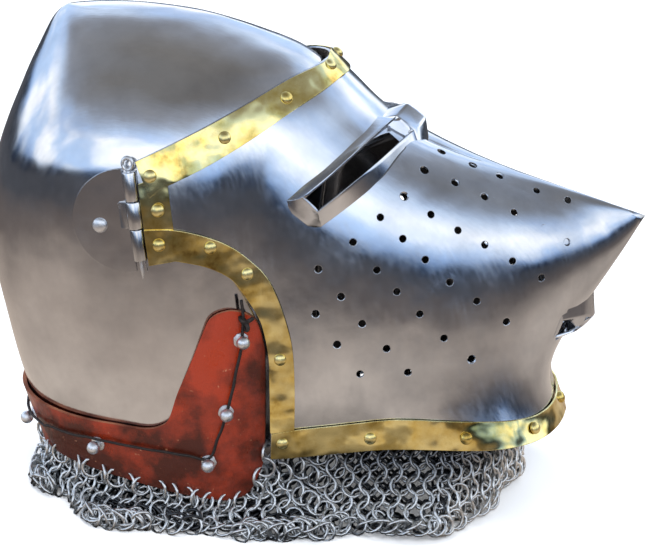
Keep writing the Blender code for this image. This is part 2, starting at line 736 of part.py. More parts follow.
def make_bands(surface):
    rear = rear_edge()
    brow_edge = [side(p) for p in BROW_EDGE]
    brow_low = [side(p) for p in BROW_BAND_EDGE]
    cheek_low = [side(p) for p in CHEEK_EDGE]
    cheek_high = [side(p) for p in CHEEK_BAND_EDGE]
    hinge_front = [side(p) for p in HINGE_BAND_EDGE]
    bottom_low = [side(BOTTOM_CORNER)] + [side(p) for p in reversed(BOTTOM_EDGE)]
    bottom_high = [side(p) for p in BOTTOM_BAND_EDGE]
    front = JOIN_Y - FAR_AWAY
    rear_line = curve([rear[0][1], rear[1][1]], [rear[0][0], rear[1][0]])
    brow_foot = brow_low[0][1]
    cheek_top = cheek_high[0][1]

    brow = (brow_low[::-1][:-1] + [(rear_line(brow_foot), brow_foot), rear[1]] + brow_edge
            + [(brow_edge[-1][0], brow_edge[-1][1] + FAR_AWAY), (front, brow_edge[-1][1] + FAR_AWAY),
               (front, brow_low[-1][1])])
    band = sheet("brow_band", surface, BRASS, BAND_THICKNESS, BAND_GAP)
    carve(band, cutter_from(prism("brow_band_outline", brow)), "INTERSECT")

    under_brow = curve([p[0] for p in brow_low[::-1]], [p[1] for p in brow_low[::-1]])
    hinge_y = hinge_front[1][0]
    hinge = [(hinge_front[0][0], cheek_top + SEAT_GAP), (rear_line(cheek_top), cheek_top + SEAT_GAP),
             (rear_line(brow_foot), brow_foot - SEAT_GAP), (brow_low[0][0], brow_foot - SEAT_GAP),
             (hinge_y, under_brow(hinge_y) - 2 * SEAT_GAP)]
    over_bottom = bottom_high[0][1] + SEAT_GAP
    cheek_front = cheek_high[1:] + [(cheek_high[-1][0], bottom_high[1][1] + SEAT_GAP)]
    cheek = ([(rear_line(cheek_top), cheek_top)] + cheek_front + [(bottom_high[0][0], over_bottom)]
             + cheek_low + [rear[0]])
    chin = [(front, bottom_high[-1][1]), (front, bottom_low[-1][1])]
    bottom = bottom_low + chin[::-1] + bottom_high[::-1]
    outlines = {"hinge_band": hinge, "cheek_band": cheek, "bottom_band": bottom}
    for name, outline in outlines.items():
        for suffix, flip in (("left", 1), ("right", -1)):
            near, far = sorted((flip * SEAT_GAP / 2, flip * FAR_AWAY))
            band = sheet(f"{name}_{suffix}", surface, BRASS, BAND_THICKNESS, BAND_GAP)
            carve(band, cutter_from(prism(f"{name}_{suffix}_outline", outline, near, far)), "INTERSECT")


def rivet_mesh(name):
    radius, height = BRASS_RIVET_DIAMETER / 2, BRASS_RIVET_HEIGHT
    profile = [(0, 0), (radius, 0), (radius * 0.93, height * 0.35), (radius * 0.6, height * 0.82), (0, height)]
    return turned(name, profile, 6)


def add_placed(name, mesh, finish, point, direction):
    """Add a turned piece, set by its object's place and turn."""
    obj = add_object(name, mesh, finish)
    obj.location = point
    obj.rotation_euler = Vector((0, 0, 1)).rotation_difference(direction).to_euler()


def add_both(name, mesh, finish, point, direction):
    add_placed(name + "_left", mesh, finish, point, direction)
    add_placed(name + "_right", mesh.copy(), finish, mirrored(point), mirrored(direction))


def make_rivets(surface):
    tree = finder(surface)
    radius = BRASS_RIVET_DIAMETER / 2
    lift = BAND_GAP + BAND_THICKNESS + SEAT_GAP
    groups = {"brow": BROW_RIVETS, "hinge": HINGE_RIVETS, "cheek": CHEEK_RIVETS, "bottom": BOTTOM_RIVETS}
    for group, places in groups.items():
        for number, place in enumerate(places, 1):
            point, out = seat_left(tree, place, radius)
            add_both(f"rivet_{group}_{number}", rivet_mesh("rivet"), BRASS, point + out * lift, out)
    z = SKULL_FOOT + CHIN_RIVET_HEIGHT * SKULL_HEIGHT
    out = ridge_normal(z)
    point = seat(tree, Vector((SEAT_GAP / 3, -FAR_AWAY, z)), Vector((0, 1, 0)), radius, out)[0]
    point.x = 0.0
    add_placed("rivet_chin", rivet_mesh("rivet_chin"), BRASS, point + out * lift, out)


def make_hinge(surface, suffix, flip):
    top, foot = pin_axis(PIN_TOP), pin_axis(PIN_FOOT)
    along = (top - foot).normalized()
    length = (top - foot).length
    splits = [0.0, KNUCKLE_SPLITS[0] * length, KNUCKLE_SPLITS[1] * length, length]
    radius = KNUCKLE_DIAMETER / 2
    bore = PIN_DIAMETER / 2 + PIN_CLEARANCE

    def face(mesh):
        return mesh if flip > 0 else mirror_mesh(mesh)

    def knuckle(start, end):
        return cylinder("knuckle", radius, foot + along * (start + KNUCKLE_GAP / 2),
                        foot + along * (end - KNUCKLE_GAP / 2), 12)

    def block(name, start, end, forward, backward, inner, outer):
        a, b = foot + along * start, foot + along * end
        rings = []
        for p in (a, b):
            depth = skull_x(p.y, p.z)
            rings.append([Vector((depth + inner, p.y - forward, p.z)), Vector((depth + inner, p.y + backward, p.z)),
                          Vector((p.x + outer, p.y + backward, p.z)), Vector((p.x + outer, p.y - forward, p.z))])
        return loft(name, rings)

    channel = cylinder("pin_bore", bore, foot - along * LEAF_REACH, top + along * LEAF_REACH, 10)

    leaf_high = VISOR_STAND - VISOR_WALL - SEAT_GAP
    leaf_low = leaf_high - LEAF_THICKNESS
    leaf = sheet(f"hinge_leaf_{suffix}", surface, STEEL, LEAF_THICKNESS, leaf_low - VISOR_STAND)
    low_z, high_z = side((0, 0.522))[1], side((0, 0.715))[1]
    lean = (top.y - foot.y) / (top.z - foot.z)
    rear_low = foot.y - radius * 0.2 + lean * (low_z - foot.z)
    rear_high = foot.y - radius * 0.2 + lean * (high_z - foot.z)
    outline = [(rear_low - LEAF_REACH, low_z), (rear_low, low_z), (rear_high, high_z),
               (rear_high - LEAF_REACH, high_z)]
    near, far = sorted((flip * NEAR_MIDDLE, flip * FAR_AWAY))
    carve(leaf, cutter_from(prism(f"leaf_outline_{suffix}", outline, near, far)), "INTERSECT")
    middle_gap = [foot + along * (splits[1] - KNUCKLE_GAP / 2), foot + along * (splits[2] + KNUCKLE_GAP / 2)]
    level = Vector((0, along.z, -along.y)).normalized()
    notch = []
    for p, reaches in zip(middle_gap, ((-radius - KNUCKLE_GAP, LEAF_REACH), (LEAF_REACH, -radius - KNUCKLE_GAP))):
        notch += [((p + level * r).y, (p + level * r).z) for r in reaches]
    carve(leaf, cutter_from(prism(f"leaf_notch_{suffix}", notch, near, far)), "DIFFERENCE")
    tubes = [(splits[0], splits[1]), (splits[2], splits[3])]
    for number, (start, end) in enumerate(tubes):
        tongue = block("tongue", start + KNUCKLE_GAP, end - KNUCKLE_GAP, radius * 0.95, -radius * 0.25,
                       leaf_low + LEAF_THICKNESS * 0.2, 0.0)
        carve(leaf, cutter_from(face(tongue)), "UNION")
        carve(leaf, cutter_from(face(knuckle(start, end))), "UNION")
    carve(leaf, cutter_from(face(channel)), "DIFFERENCE")

    pivot_y, pivot_z = side(PIVOT)
    plate_low = skull_x(pivot_y, pivot_z) + SEAT_GAP + KNUCKLE_STAND / 4
    centre_y, centre_z = side(PLATE_CENTRE)
    disc = []
    gap = radius + 2 * KNUCKLE_GAP
    for k in range(24):
        turn = 2 * pi * k / 24
        y, z = centre_y + PLATE_RADIUS * cos(turn), centre_z + PLATE_RADIUS * sin(turn)
        edge = foot.y + lean * (z - foot.z) + gap
        disc.append((max(y, edge), z))
    disc = [p for k, p in enumerate(disc) if k == 0 or abs(p[1] - disc[k - 1][1]) > 0.0001 or p[0] > disc[k - 1][0]]
    plate_mesh = prism("plate", disc, plate_low, plate_low + PLATE_THICKNESS)
    plate = add_object(f"pivot_plate_{suffix}", face(plate_mesh), STEEL, smooth=False)
    start, end = splits[1] + KNUCKLE_GAP, splits[2] - KNUCKLE_GAP
    a, b = foot + along * start, foot + along * end
    arm_in = plate_low + PLATE_THICKNESS * 0.1
    arm_out = plate_low + PLATE_THICKNESS * 0.9
    rings = [[Vector((arm_in, p.y, p.z)), Vector((arm_in, p.y + gap * 1.4, p.z)),
              Vector((arm_out, p.y + gap * 1.4, p.z)), Vector((arm_out + radius * 0.5, p.y, p.z))] for p in (a, b)]
    carve(plate, cutter_from(face(loft("plate_tongue", rings))), "UNION")
    carve(plate, cutter_from(face(knuckle(splits[1], splits[2]))), "UNION")
    carve(plate, cutter_from(face(channel.copy())), "DIFFERENCE")
    shank_bore = cylinder("shank_bore", PIVOT_SHANK_DIAMETER / 2 + PIN_CLEARANCE,
                          Vector((plate_low - BORE_REACH, pivot_y, pivot_z)),
                          Vector((plate_low + BORE_REACH, pivot_y, pivot_z)), 10)
    carve(plate, cutter_from(face(shank_bore)), "DIFFERENCE")

    plate_top = plate_low + PLATE_THICKNESS
    inside = skull_x(pivot_y, pivot_z) - SKULL_WALL - 3 * SEAT_GAP
    head, shank = PIVOT_HEAD_DIAMETER / 2, PIVOT_SHANK_DIAMETER / 2
    lift = plate_top + SEAT_GAP - inside
    tail = PIVOT_HEAD_HEIGHT * 0.4
    profile = [(0, -tail), (head * 0.8, -tail), (head * 0.8, 0), (shank, 0), (shank, lift), (head, lift),
               (head * 0.92, lift + PIVOT_HEAD_HEIGHT * 0.4), (head * 0.6, lift + PIVOT_HEAD_HEIGHT * 0.84),
               (0, lift + PIVOT_HEAD_HEIGHT)]
    name = f"pivot_rivet_{suffix}"
    rivet = placed(turned(name, profile, 10), Vector((inside, pivot_y, pivot_z)), Vector((1, 0, 0)))
    add_object(name, face(rivet), STEEL)

    ring = PIN_RING_DIAMETER / 2
    neck = top + along * (ring + SEAT_GAP)
    shaft = cylinder("shaft", PIN_DIAMETER / 2, foot - along * PIN_TAIL, neck - along * ring * 0.9, 10)
    name = f"hinge_pin_{suffix}"
    pin = add_object(name, face(shaft), STEEL)
    aside = Vector((0, 1, 0)) - along * along.y
    aside.normalize()
    bpy.ops.mesh.primitive_torus_add(major_segments=12, minor_segments=6, major_radius=ring,
                                     minor_radius=PIN_RING_WIRE / 2)
    torus = bpy.context.object
    eye = torus.data
    bpy.data.objects.remove(torus)
    placed(eye, top + along * (ring + PIN_RING_WIRE / 2 + SEAT_GAP), along.cross(aside))
    carve(pin, cutter_from(face(eye)), "UNION")


def leather_surface():
    levels = [-0.10, -0.02, 0.08, 0.18, 0.28, 0.37, 0.44]
    return open_surface("leather_surface", skull_rows(levels, 7))


def make_leather():
    leather = sheet("aventail_leather", leather_surface(), LEATHER, LEATHER_THICKNESS, LEATHER_STAND)
    outline = [side(p) for p in LEATHER_TOP + LEATHER_FOOT]
    carve(leather, cutter_from(prism("leather_outline", outline)), "INTERSECT")


def make_vervelles():
    ball, neck = VERVELLE_BALL / 2, VERVELLE_NECK / 2
    lift = LEATHER_STAND + LEATHER_THICKNESS + SEAT_GAP
    rise = LACE_DIAMETER + VERVELLE_CLEARANCE
    profile = [(0, 0), (ball * 1.12, 0), (ball * 0.95, COLLAR_THICKNESS), (neck, COLLAR_THICKNESS * 1.3),
               (neck, rise),
               (ball * 0.86, rise + ball * 0.49), (ball, rise + ball * 1.0), (ball * 0.72, rise + ball * 1.68),
               (0, rise + ball * 1.98)]
    tree = finder(leather_surface())
    for number, place in enumerate(VERVELLES, 1):
        point, out = seat_left(tree, place, ball * 1.12)
        add_both(f"vervelle_{number}", turned("vervelle", profile, 6), IRON, point + out * lift, out)


def make_lace():
    lift = LEATHER_STAND + LEATHER_THICKNESS + 2 * SEAT_GAP + LACE_DIAMETER / 2 + LACE_LIFT
    half = [point_on(skull_x, place, lift) for place in LACE_ROUTE]
    height = LACE_ROUTE[-1][1]
    z = SKULL_FOOT + height * SKULL_HEIGHT
    front, back, width, widest, fullness = skull_section(z)
    turn = atan2(half[-1].x / width, (half[-1].y - widest) / (back - widest))
    for k in range(1, 6):
        angle = turn * (1 - k / 5)
        y = widest + (back - widest) * cos(angle)
        x = 0.0 if k == 5 else skull_x(y, z)
        out = Vector((0, 1, 0)) if k == 5 else normal_on(skull_x, y, z)
        half.append(Vector((x, y, z)) + out * lift)
    route = half + [mirrored(p) for p in half[-2::-1]]
    data = bpy.data.curves.new("lace", "CURVE")
    data.dimensions = "3D"
    data.bevel_depth = LACE_DIAMETER / 2
    data.bevel_resolution = 0
    data.use_fill_caps = True
    spline = data.splines.new("POLY")
    spline.points.add(len(route) - 1)
    for spot, p in zip(spline.points, route):
        spot.co = (*p, 1.0)
    obj = bpy.data.objects.new("lace_curve", data)
    CUTTERS.objects.link(obj)
    lace = add_object("lace", made_mesh(obj), CORD)
    for flip in (1, -1):
        bm = bmesh.new()
        bmesh.ops.create_uvsphere(bm, u_segments=8, v_segments=6, radius=LACE_KNOT / 2)
        mesh = bpy.data.meshes.new("knot")
        bm.to_mesh(mesh)
        bm.free()
        spot = point_on(skull_x, LACE_KNOT_PLACE, lift + LACE_KNOT / 2 - LACE_DIAMETER / 2)
        mesh.transform(Matrix.Translation(spot if flip > 0 else mirrored(spot)))
        carve(lace, cutter_from(mesh), "UNION")


def make_mail():
    steps = list(range(len(MAIL)))
    tracks = [curve(steps, [row[k] for row in MAIL]) for k in range(5)]
    samples = [k / 2 for k in range(2 * len(MAIL) - 1)]
    half = []
    for step in samples:
        top_x, top_v, top_h, foot_x, foot_v = [t(step) for t in tracks]
        y, z = side((top_v, top_h))
        reach = max(top_x, 0) * HALF_WIDTH
        if top_v < 0:
            reach = min(reach, max(skull_x(y, z) - MAIL_TUCK, 0))
        foot_y = side((foot_v, 0))[0]
        half.append((Vector((reach, y, z)), Vector((max(foot_x, 0) * HALF_WIDTH, foot_y, 0))))
    loop = half + [(mirrored(a), mirrored(b)) for a, b in half[-2:0:-1]]
    rings = []
    n = len(loop)
    for k in range(n):
        top, foot = loop[k]
        along = loop[(k + 1) % n][0] - loop[k - 1][0]
        inward = Vector((-along.y, along.x, 0)).normalized()
        if inward.dot(Vector((0, MIDDLE_Y - HALF_LENGTH / 2, 0)) - Vector((top.x, top.y, 0))) < 0:
            inward.negate()
        rise = top.z
        waist = top.lerp(foot, MAIL_WAIST_OUT)
        waist.z = rise * MAIL_WAIST
        belly = Vector((foot.x, foot.y, MAIL_BELLY))
        sole = foot + inward * MAIL_BELLY * 0.4
        ring = [top, waist, belly, sole, foot + inward * MAIL_SPREAD,
                waist + inward * MAIL_THICKNESS * 1.4, top + inward * MAIL_THICKNESS]
        rings.append(ring)
    points = [p for ring in rings for p in ring]
    m = len(rings[0])
    faces = [[k * m + j, k * m + (j + 1) % m, (k + 1) % n * m + (j + 1) % m, (k + 1) % n * m + j]
             for k in range(n) for j in range(m)]
    add_object("mail_aventail", mesh_from("mail_aventail", points, faces), IRON)


def hang_on(name, point, prefixes):
    """An empty on a joint's axis, the parent of the pieces that move there."""
    empty = bpy.data.objects.new(name, None)
    PARTS.objects.link(empty)
    empty.location = point
    bpy.context.view_layer.update()
    for obj in list(PARTS.objects):
        if obj.type == "MESH" and obj.name.startswith(prefixes):
            obj.parent = empty
            obj.matrix_parent_inverse = empty.matrix_world.inverted()


def main():
    for obj in list(bpy.data.objects):
        bpy.data.objects.remove(obj)
    scene = bpy.context.scene
    scene.collection.children.link(PARTS)
    scene.collection.children.link(CUTTERS)
    visor = visor_surface()
    make_skull(skull_surface())
    make_visor(visor)
    make_bands(visor)
    make_rivets(visor)
    for suffix, flip in (("left", 1), ("right", -1)):
        make_hinge(visor, suffix, flip)
    make_leather()
    make_vervelles()
    make_lace()
    make_mail()
    axis = Vector((0, *side(PIVOT)))
    hang_on("visor_pivots", axis, ("visor", "brow_", "hinge_band", "cheek_", "bottom_", "rivet_", "hinge_leaf",
                                   "pivot_plate"))
    foot = pin_axis(PIN_FOOT)
    hang_on("pin_left_axis", foot, "hinge_pin_left")
    hang_on("pin_right_axis", mirrored(foot), "hinge_pin_right")


main()
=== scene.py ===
"""The looks of a hounskull bascinet: polished steel, brass edging, red leather and a mail aventail."""
import random
from math import acos, atan2, cos, hypot, pi, radians, sin, sqrt

import bmesh
import bpy
from mathutils import Matrix, Vector, noise
from mathutils.bvhtree import BVHTree
from mathutils.interpolate import poly_3d_calc


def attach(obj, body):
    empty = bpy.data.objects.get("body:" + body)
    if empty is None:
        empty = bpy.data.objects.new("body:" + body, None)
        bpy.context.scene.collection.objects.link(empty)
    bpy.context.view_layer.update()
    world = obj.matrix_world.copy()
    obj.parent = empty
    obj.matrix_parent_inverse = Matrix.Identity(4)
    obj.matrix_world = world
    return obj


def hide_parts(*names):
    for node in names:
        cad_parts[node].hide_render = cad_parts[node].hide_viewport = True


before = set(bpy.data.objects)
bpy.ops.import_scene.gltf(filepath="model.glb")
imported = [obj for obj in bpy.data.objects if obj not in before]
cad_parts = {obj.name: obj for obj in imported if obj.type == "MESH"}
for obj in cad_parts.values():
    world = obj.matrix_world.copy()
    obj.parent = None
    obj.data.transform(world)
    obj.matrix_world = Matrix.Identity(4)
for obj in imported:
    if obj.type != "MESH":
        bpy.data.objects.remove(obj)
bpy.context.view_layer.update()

# Sizes of the steel, as in the solids
SKULL_LENGTH = 0.215
SKULL_WIDTH = 0.191
SKULL_HEIGHT = 0.264
SKULL_FOOT = 0.034
WALL = 0.0016
FACE_REACH = 0.2194
VISOR_STAND = 0.0062
HALF_LENGTH = SKULL_LENGTH / 2
HALF_WIDTH = SKULL_WIDTH / 2
JOIN_SHARE = 0.67
MIDDLE_Y = (FACE_REACH - (1 - JOIN_SHARE) * HALF_LENGTH) / 2
JOIN_Y = MIDDLE_Y - JOIN_SHARE * HALF_LENGTH
TIP_HEIGHT = 0.545
CHEEK_CORNER = 0.508
BROW_CORNER = 0.735
CHIN_RIVET_HEIGHT = 0.084
MOUTH_WINDOW_FOOT = 0.262
MOUTH_WINDOW_HEAD = 0.340
CHIN_GAP = 0.0003
FAR = 0.45  # beyond every face of the helmet
SIDE_REACH = 0.16  # beyond its widest point

# Height share, then front, back, width and widest place as shares of the half sizes, and how full the section is
SKULL_SECTIONS = [
    (-0.080, -1.000, 0.700, 0.930, -0.36, 2.40), (0.000, -1.000, 0.745, 0.945, -0.33, 2.40),
    (0.080, -1.000, 0.810, 0.955, -0.30, 2.40), (0.175, -1.000, 0.880, 0.965, -0.24, 2.40),
    (0.290, -1.000, 0.935, 0.980, -0.14, 2.40), (0.400, -1.000, 0.980, 0.992, -0.04, 2.40),
    (0.495, -1.000, 1.000, 0.998, 0.03, 2.40), (0.590, -1.000, 0.980, 1.000, 0.07, 2.35),
    (0.685, -1.000, 0.925, 0.985, 0.08, 2.25), (0.760, -1.000, 0.860, 0.930, 0.09, 2.10),
    (0.818, -0.985, 0.800, 0.840, 0.10, 1.95), (0.864, -0.930, 0.753, 0.735, 0.12, 1.80),
    (0.902, -0.815, 0.707, 0.615, 0.14, 1.70), (0.936, -0.615, 0.665, 0.480, 0.17, 1.60),
    (0.962, -0.430, 0.628, 0.345, 0.20, 1.55), (0.981, -0.260, 0.586, 0.225, 0.22, 1.50),
    (0.9924, -0.080, 0.540, 0.130, 0.24, 1.50),
]
APEX_PLACE = 0.25
FRONT_ROUNDNESS = 2.2
BACK_ROUNDNESS = 2.5
# Visor rows: height share, reach of the front, and half widths at the steps from the ridge to the join line
WIDTH_STEPS = [0.0, 0.20, 0.35, 0.50, 0.67, 0.84, 1.0]
SNOUT_BELOW = [
    (0.038, 0.814, 0.430, 0.66, 0.760, 0.80, 0.870), (0.106, 0.775, 0.400, 0.63, 0.740, 0.80, 0.880),
    (0.174, 0.754, 0.330, 0.54, 0.680, 0.79, 0.890), (0.242, 0.789, 0.260, 0.46, 0.635, 0.785, 0.900),
    (0.356, 0.871, 0.190, 0.38, 0.565, 0.75, 0.895), (0.458, 0.943, 0.125, 0.29, 0.480, 0.69, 0.875),
    (0.545, 1.000, 0.065, 0.20, 0.375, 0.60, 0.840),
]
SNOUT_ABOVE = [
    (0.545, 1.000, 0.065, 0.20, 0.375, 0.60, 0.840), (0.591, 0.825, 0.085, 0.20, 0.370, 0.60, 0.830),
    (0.644, 0.615, 0.110, 0.24, 0.410, 0.62, 0.830), (0.697, 0.410, 0.150, 0.30, 0.470, 0.66, 0.830),
    (0.773, 0.285, 0.190, 0.35, 0.515, 0.68, 0.840), (0.837, 0.203, 0.220, 0.38, 0.530, 0.69, 0.840),
    (0.913, 0.114, 0.220, 0.38, 0.540, 0.70, 0.850),
]

# Edges in the side view
BOTTOM_EDGE = [(0.784, 0.059), (0.597, 0.053), (0.351, 0.056), (0.214, 0.048), (0.077, 0.040), (0.026, 0.040)]
CHEEK_EDGE = [(0.026, 0.040), (0.024, 0.223), (0.019, 0.295), (0.005, 0.352), (-0.012, 0.390), (-0.044, 0.438),
              (-0.076, 0.475), (-0.137, 0.504), (-0.213, 0.519), (-0.285, 0.513)]
BROW_EDGE = [(-0.318, 0.735), (-0.180, 0.787), (-0.061, 0.833), (0.051, 0.875), (0.134, 0.894)]
BROW_BAND_EDGE = [(-0.297, 0.661), (-0.151, 0.716), (-0.030, 0.769), (0.083, 0.824), (0.175, 0.861)]
HINGE_BAND_EDGE = [(-0.214, 0.588), (-0.236, 0.684)]
CHEEK_BAND_EDGE = [(-0.298, 0.588), (-0.214, 0.588), (-0.123, 0.567), (-0.053, 0.532), (0.011, 0.473),
                   (0.036, 0.436), (0.058, 0.388), (0.079, 0.323), (0.087, 0.267), (0.090, 0.195), (0.089, 0.108)]
BOTTOM_BAND_EDGE = [(0.029, 0.101), (0.089, 0.108), (0.214, 0.117), (0.323, 0.126), (0.392, 0.127),
                    (0.542, 0.119), (0.649, 0.113), (0.730, 0.108)]
FACE_OPENING = [(0.046, -0.300), (0.046, 0.098), (0.059, 0.288), (0.077, 0.477), (0.105, 0.610),
                (0.119, 0.712), (0.155, 0.765)]
LEATHER_TOP = [(-0.900, 0.114), (-0.558, 0.108), (-0.408, 0.108), (-0.322, 0.105), (-0.273, 0.117),
               (-0.249, 0.139), (-0.224, 0.200), (-0.186, 0.272), (-0.155, 0.336), (-0.133, 0.377),
               (-0.097, 0.392), (-0.061, 0.391), (-0.021, 0.372), (-0.004, 0.342), (0.008, 0.291)]
LEATHER_FOOT = [(0.008, 0.291), (0.008, 0.115), (0.002, 0.030), (-0.003, 0.011), (-0.033, -0.043),
                (-0.081, -0.062), (-0.128, -0.062), (-0.224, -0.053), (-0.326, -0.038), (-0.410, -0.027),
                (-0.558, -0.017), (-0.900, -0.015)]

# Breath holes, left side, mirrored to the right
BREATHS = [
    (0.361, 0.627), (0.305, 0.591), (0.238, 0.541), (0.367, 0.545), (0.149, 0.483), (0.301, 0.478),
    (0.209, 0.420), (0.354, 0.428), (0.143, 0.381), (0.265, 0.357), (0.415, 0.375), (0.200, 0.309),
    (0.330, 0.297), (0.261, 0.238), (0.387, 0.239), (0.491, 0.443), (0.563, 0.396), (0.642, 0.341),
    (0.480, 0.316), (0.553, 0.261), (0.440, 0.680), (0.404, 0.664), (0.528, 0.657), (0.488, 0.639),
    (0.603, 0.637), (0.569, 0.609), (0.434, 0.589), (0.508, 0.556), (0.651, 0.580), (0.705, 0.608),
    (0.738, 0.552), (0.580, 0.519), (0.426, 0.496), (0.654, 0.478), (0.731, 0.433), (0.791, 0.588),
    (0.870, 0.555), (0.801, 0.504),
]
# Sight frame from temple to ridge: foot below and above, rim below and above, and the rim's width share
SIGHT = [
    ((0.155, 0.572), (0.074, 0.626), (0.149, 0.617), (0.109, 0.650), 0.827),
    ((0.201, 0.599), (0.114, 0.657), (0.190, 0.643), (0.148, 0.675), 0.770),
    ((0.247, 0.624), (0.152, 0.685), (0.229, 0.667), (0.186, 0.698), 0.686),
    ((0.292, 0.647), (0.190, 0.712), (0.267, 0.689), (0.223, 0.722), 0.592),
    ((0.331, 0.671), (0.224, 0.739), (0.304, 0.709), (0.259, 0.742), 0.461),
    ((0.368, 0.688), (0.256, 0.760), (0.340, 0.727), (0.293, 0.759), 0.293),
    ((0.397, 0.694), (0.276, 0.769), (0.375, 0.741), (0.326, 0.773), 0.105),
    ((0.410, 0.695), (0.280, 0.771), (0.397, 0.758), (0.346, 0.788), 0.0),
]
# Mouth frame from corner to ridge: width share, then heights of foot and rim below and of rim and foot above,
# each rim with its share of the stand
MOUTH = [
    (0.270, 0.262, 0.276, 0.15, 0.318, 0.15, 0.335),
    (0.240, 0.259, 0.276, 0.26, 0.318, 0.24, 0.338),
    (0.130, 0.250, 0.277, 0.50, 0.318, 0.58, 0.350),
    (0.031, 0.244, 0.278, 0.68, 0.318, 0.92, 0.360),
    (0.000, 0.243, 0.278, 0.72, 0.318, 1.00, 0.362),
]
MOUTH_STAND = 0.0092

# Fastenings, left side, mirrored to the right
RIVETS = [(-0.278, 0.706), (-0.094, 0.778), (0.046, 0.839), (0.138, 0.881), (-0.258, 0.633),
          (-0.257, 0.556), (-0.126, 0.547), (-0.036, 0.480), (0.050, 0.277),
          (0.055, 0.077), (0.289, 0.084), (0.547, 0.083), (0.724, 0.084)]
VERVELLES = [(-0.059, 0.324), (-0.097, 0.157), (-0.143, 0.035), (-0.458, 0.052), (-0.688, 0.045)]
LACE_ROUTE = [(-0.060, 0.419), (-0.056, 0.375), (-0.058, 0.324), (-0.076, 0.235), (-0.096, 0.157),
              (-0.119, 0.092), (-0.143, 0.046), (-0.205, 0.052), (-0.305, 0.060), (-0.380, 0.065),
              (-0.458, 0.068), (-0.540, 0.065), (-0.610, 0.062)]
LACE_KNOT_PLACE = (-0.050, 0.368)
PIVOT = (-0.420, 0.588)
PLATE_CENTRE = (-0.351, 0.600)
PIN_TOP = (-0.336, 0.713)
PIN_FOOT = (-0.307, 0.517)

# Mail from back to chin: top width, reach and height, foot width and reach
MAIL = [
    (0.000, -0.690, -0.030, 0.000, -0.735), (0.300, -0.675, -0.030, 0.370, -0.710),
    (0.600, -0.600, -0.030, 0.710, -0.635), (0.800, -0.465, -0.030, 0.960, -0.510),
    (0.905, -0.290, -0.030, 1.100, -0.350), (0.930, -0.150, -0.030, 1.130, -0.195),
    (0.900, -0.030, -0.030, 1.130, -0.060), (0.830, 0.060, -0.020, 1.110, 0.070),
    (0.730, 0.205, 0.070, 1.015, 0.205), (0.640, 0.365, 0.083, 1.047, 0.365),
    (0.570, 0.510, 0.083, 1.037, 0.500), (0.460, 0.602, 0.083, 0.650, 0.597),
    (0.250, 0.656, 0.083, 0.377, 0.656), (0.000, 0.675, 0.083, 0.000, 0.702),
]


# Shape functions

def curve(places, values):
    """A smooth function through the points that never overshoots them."""
    steps = [b - a for a, b in zip(places, places[1:])]
    slopes = [(b - a) / s for a, b, s in zip(values, values[1:], steps)]
    lean = [slopes[0]]
    for a, b, g, h in zip(slopes, slopes[1:], steps, steps[1:]):
        if a * b > 0:
            first, second = 2 * h + g, h + 2 * g
            lean.append((first + second) / (first / a + second / b))
        else:
            lean.append(0.0)
    lean.append(slopes[-1])

    def value(x):
        if x <= places[0]:
            return values[0] + lean[0] * (x - places[0])
        if x >= places[-1]:
            return values[-1] + lean[-1] * (x - places[-1])
        i = max(k for k, place in enumerate(places) if place <= x)
        t = (x - places[i]) / steps[i]
        return ((1 + 2 * t) * (1 - t) ** 2 * values[i] + t * (1 - t) ** 2 * steps[i] * lean[i]
                + t * t * (3 - 2 * t) * values[i + 1] - t * t * (1 - t) * steps[i] * lean[i + 1])
    return value


def columns(table):
    """A smooth function of the first column for each of the others."""
    return [curve([row[0] for row in table], [row[k] for row in table]) for k in range(1, len(table[0]))]


SKULL_CURVES = columns(SKULL_SECTIONS)
BELOW_CURVES = columns(SNOUT_BELOW)
ABOVE_CURVES = columns(SNOUT_ABOVE)


def side(place):
    """Y and Z of a side-view place: reach in front of the join line, and height, as shares."""
    reach, height = place
    return JOIN_Y - reach * (FACE_REACH if reach > 0 else SKULL_LENGTH), SKULL_FOOT + height * SKULL_HEIGHT


def height_at(share):
    return SKULL_FOOT + share * SKULL_HEIGHT


def share_at(z):
    return (z - SKULL_FOOT) / SKULL_HEIGHT


def skull_section(z):
    front, back, width, widest, fullness = [f(share_at(z)) for f in SKULL_CURVES]
    return (MIDDLE_Y + front * HALF_LENGTH, MIDDLE_Y + back * HALF_LENGTH, width * HALF_WIDTH,
            MIDDLE_Y + widest * HALF_LENGTH, fullness)


def skull_x(y, z):
    """Half width of the skull's outside."""
    front, back, width, widest, fullness = skull_section(z)
    if y < widest:
        t, power = (widest - y) / (widest - front), FRONT_ROUNDNESS
    else:
        t, power = (y - widest) / (back - widest), BACK_ROUNDNESS
    return width * (1 - min(t, 1.0) ** power) ** (1 / fullness)


def front_reach(height):
    return (BELOW_CURVES if height <= TIP_HEIGHT else ABOVE_CURVES)[0](height)


def visor_row(z):
    """The visor's front and a function for its half width along one height."""
    height = share_at(z)
    front, *widths = [f(height) for f in (BELOW_CURVES if height <= TIP_HEIGHT else ABOVE_CURVES)]
    front_y = JOIN_Y - front * FACE_REACH
    share = curve(WIDTH_STEPS, [0.0] + widths + [1.0])
    join = skull_x(JOIN_Y, z) + VISOR_STAND

    def width(y):
        if y >= JOIN_Y:
            return skull_x(y, z) + VISOR_STAND
        return share(sqrt(max(y - front_y, 0.0) / (JOIN_Y - front_y))) * join
    return front_y, width


def visor_x(y, z):
    """Half width of the visor's outside."""
    return visor_row(z)[1](y)


def normal_on(surface, y, z):
    d = 0.0005
    across = (surface(y + d, z) - surface(y - d, z)) / (2 * d)
    up = (surface(y, z + d) - surface(y, z - d)) / (2 * d)
    return Vector((1.0, -across, -up)).normalized()


def point_on(surface, place, lift=0.0):
    y, z = side(place)
    return Vector((surface(y, z), y, z)) + normal_on(surface, y, z) * lift


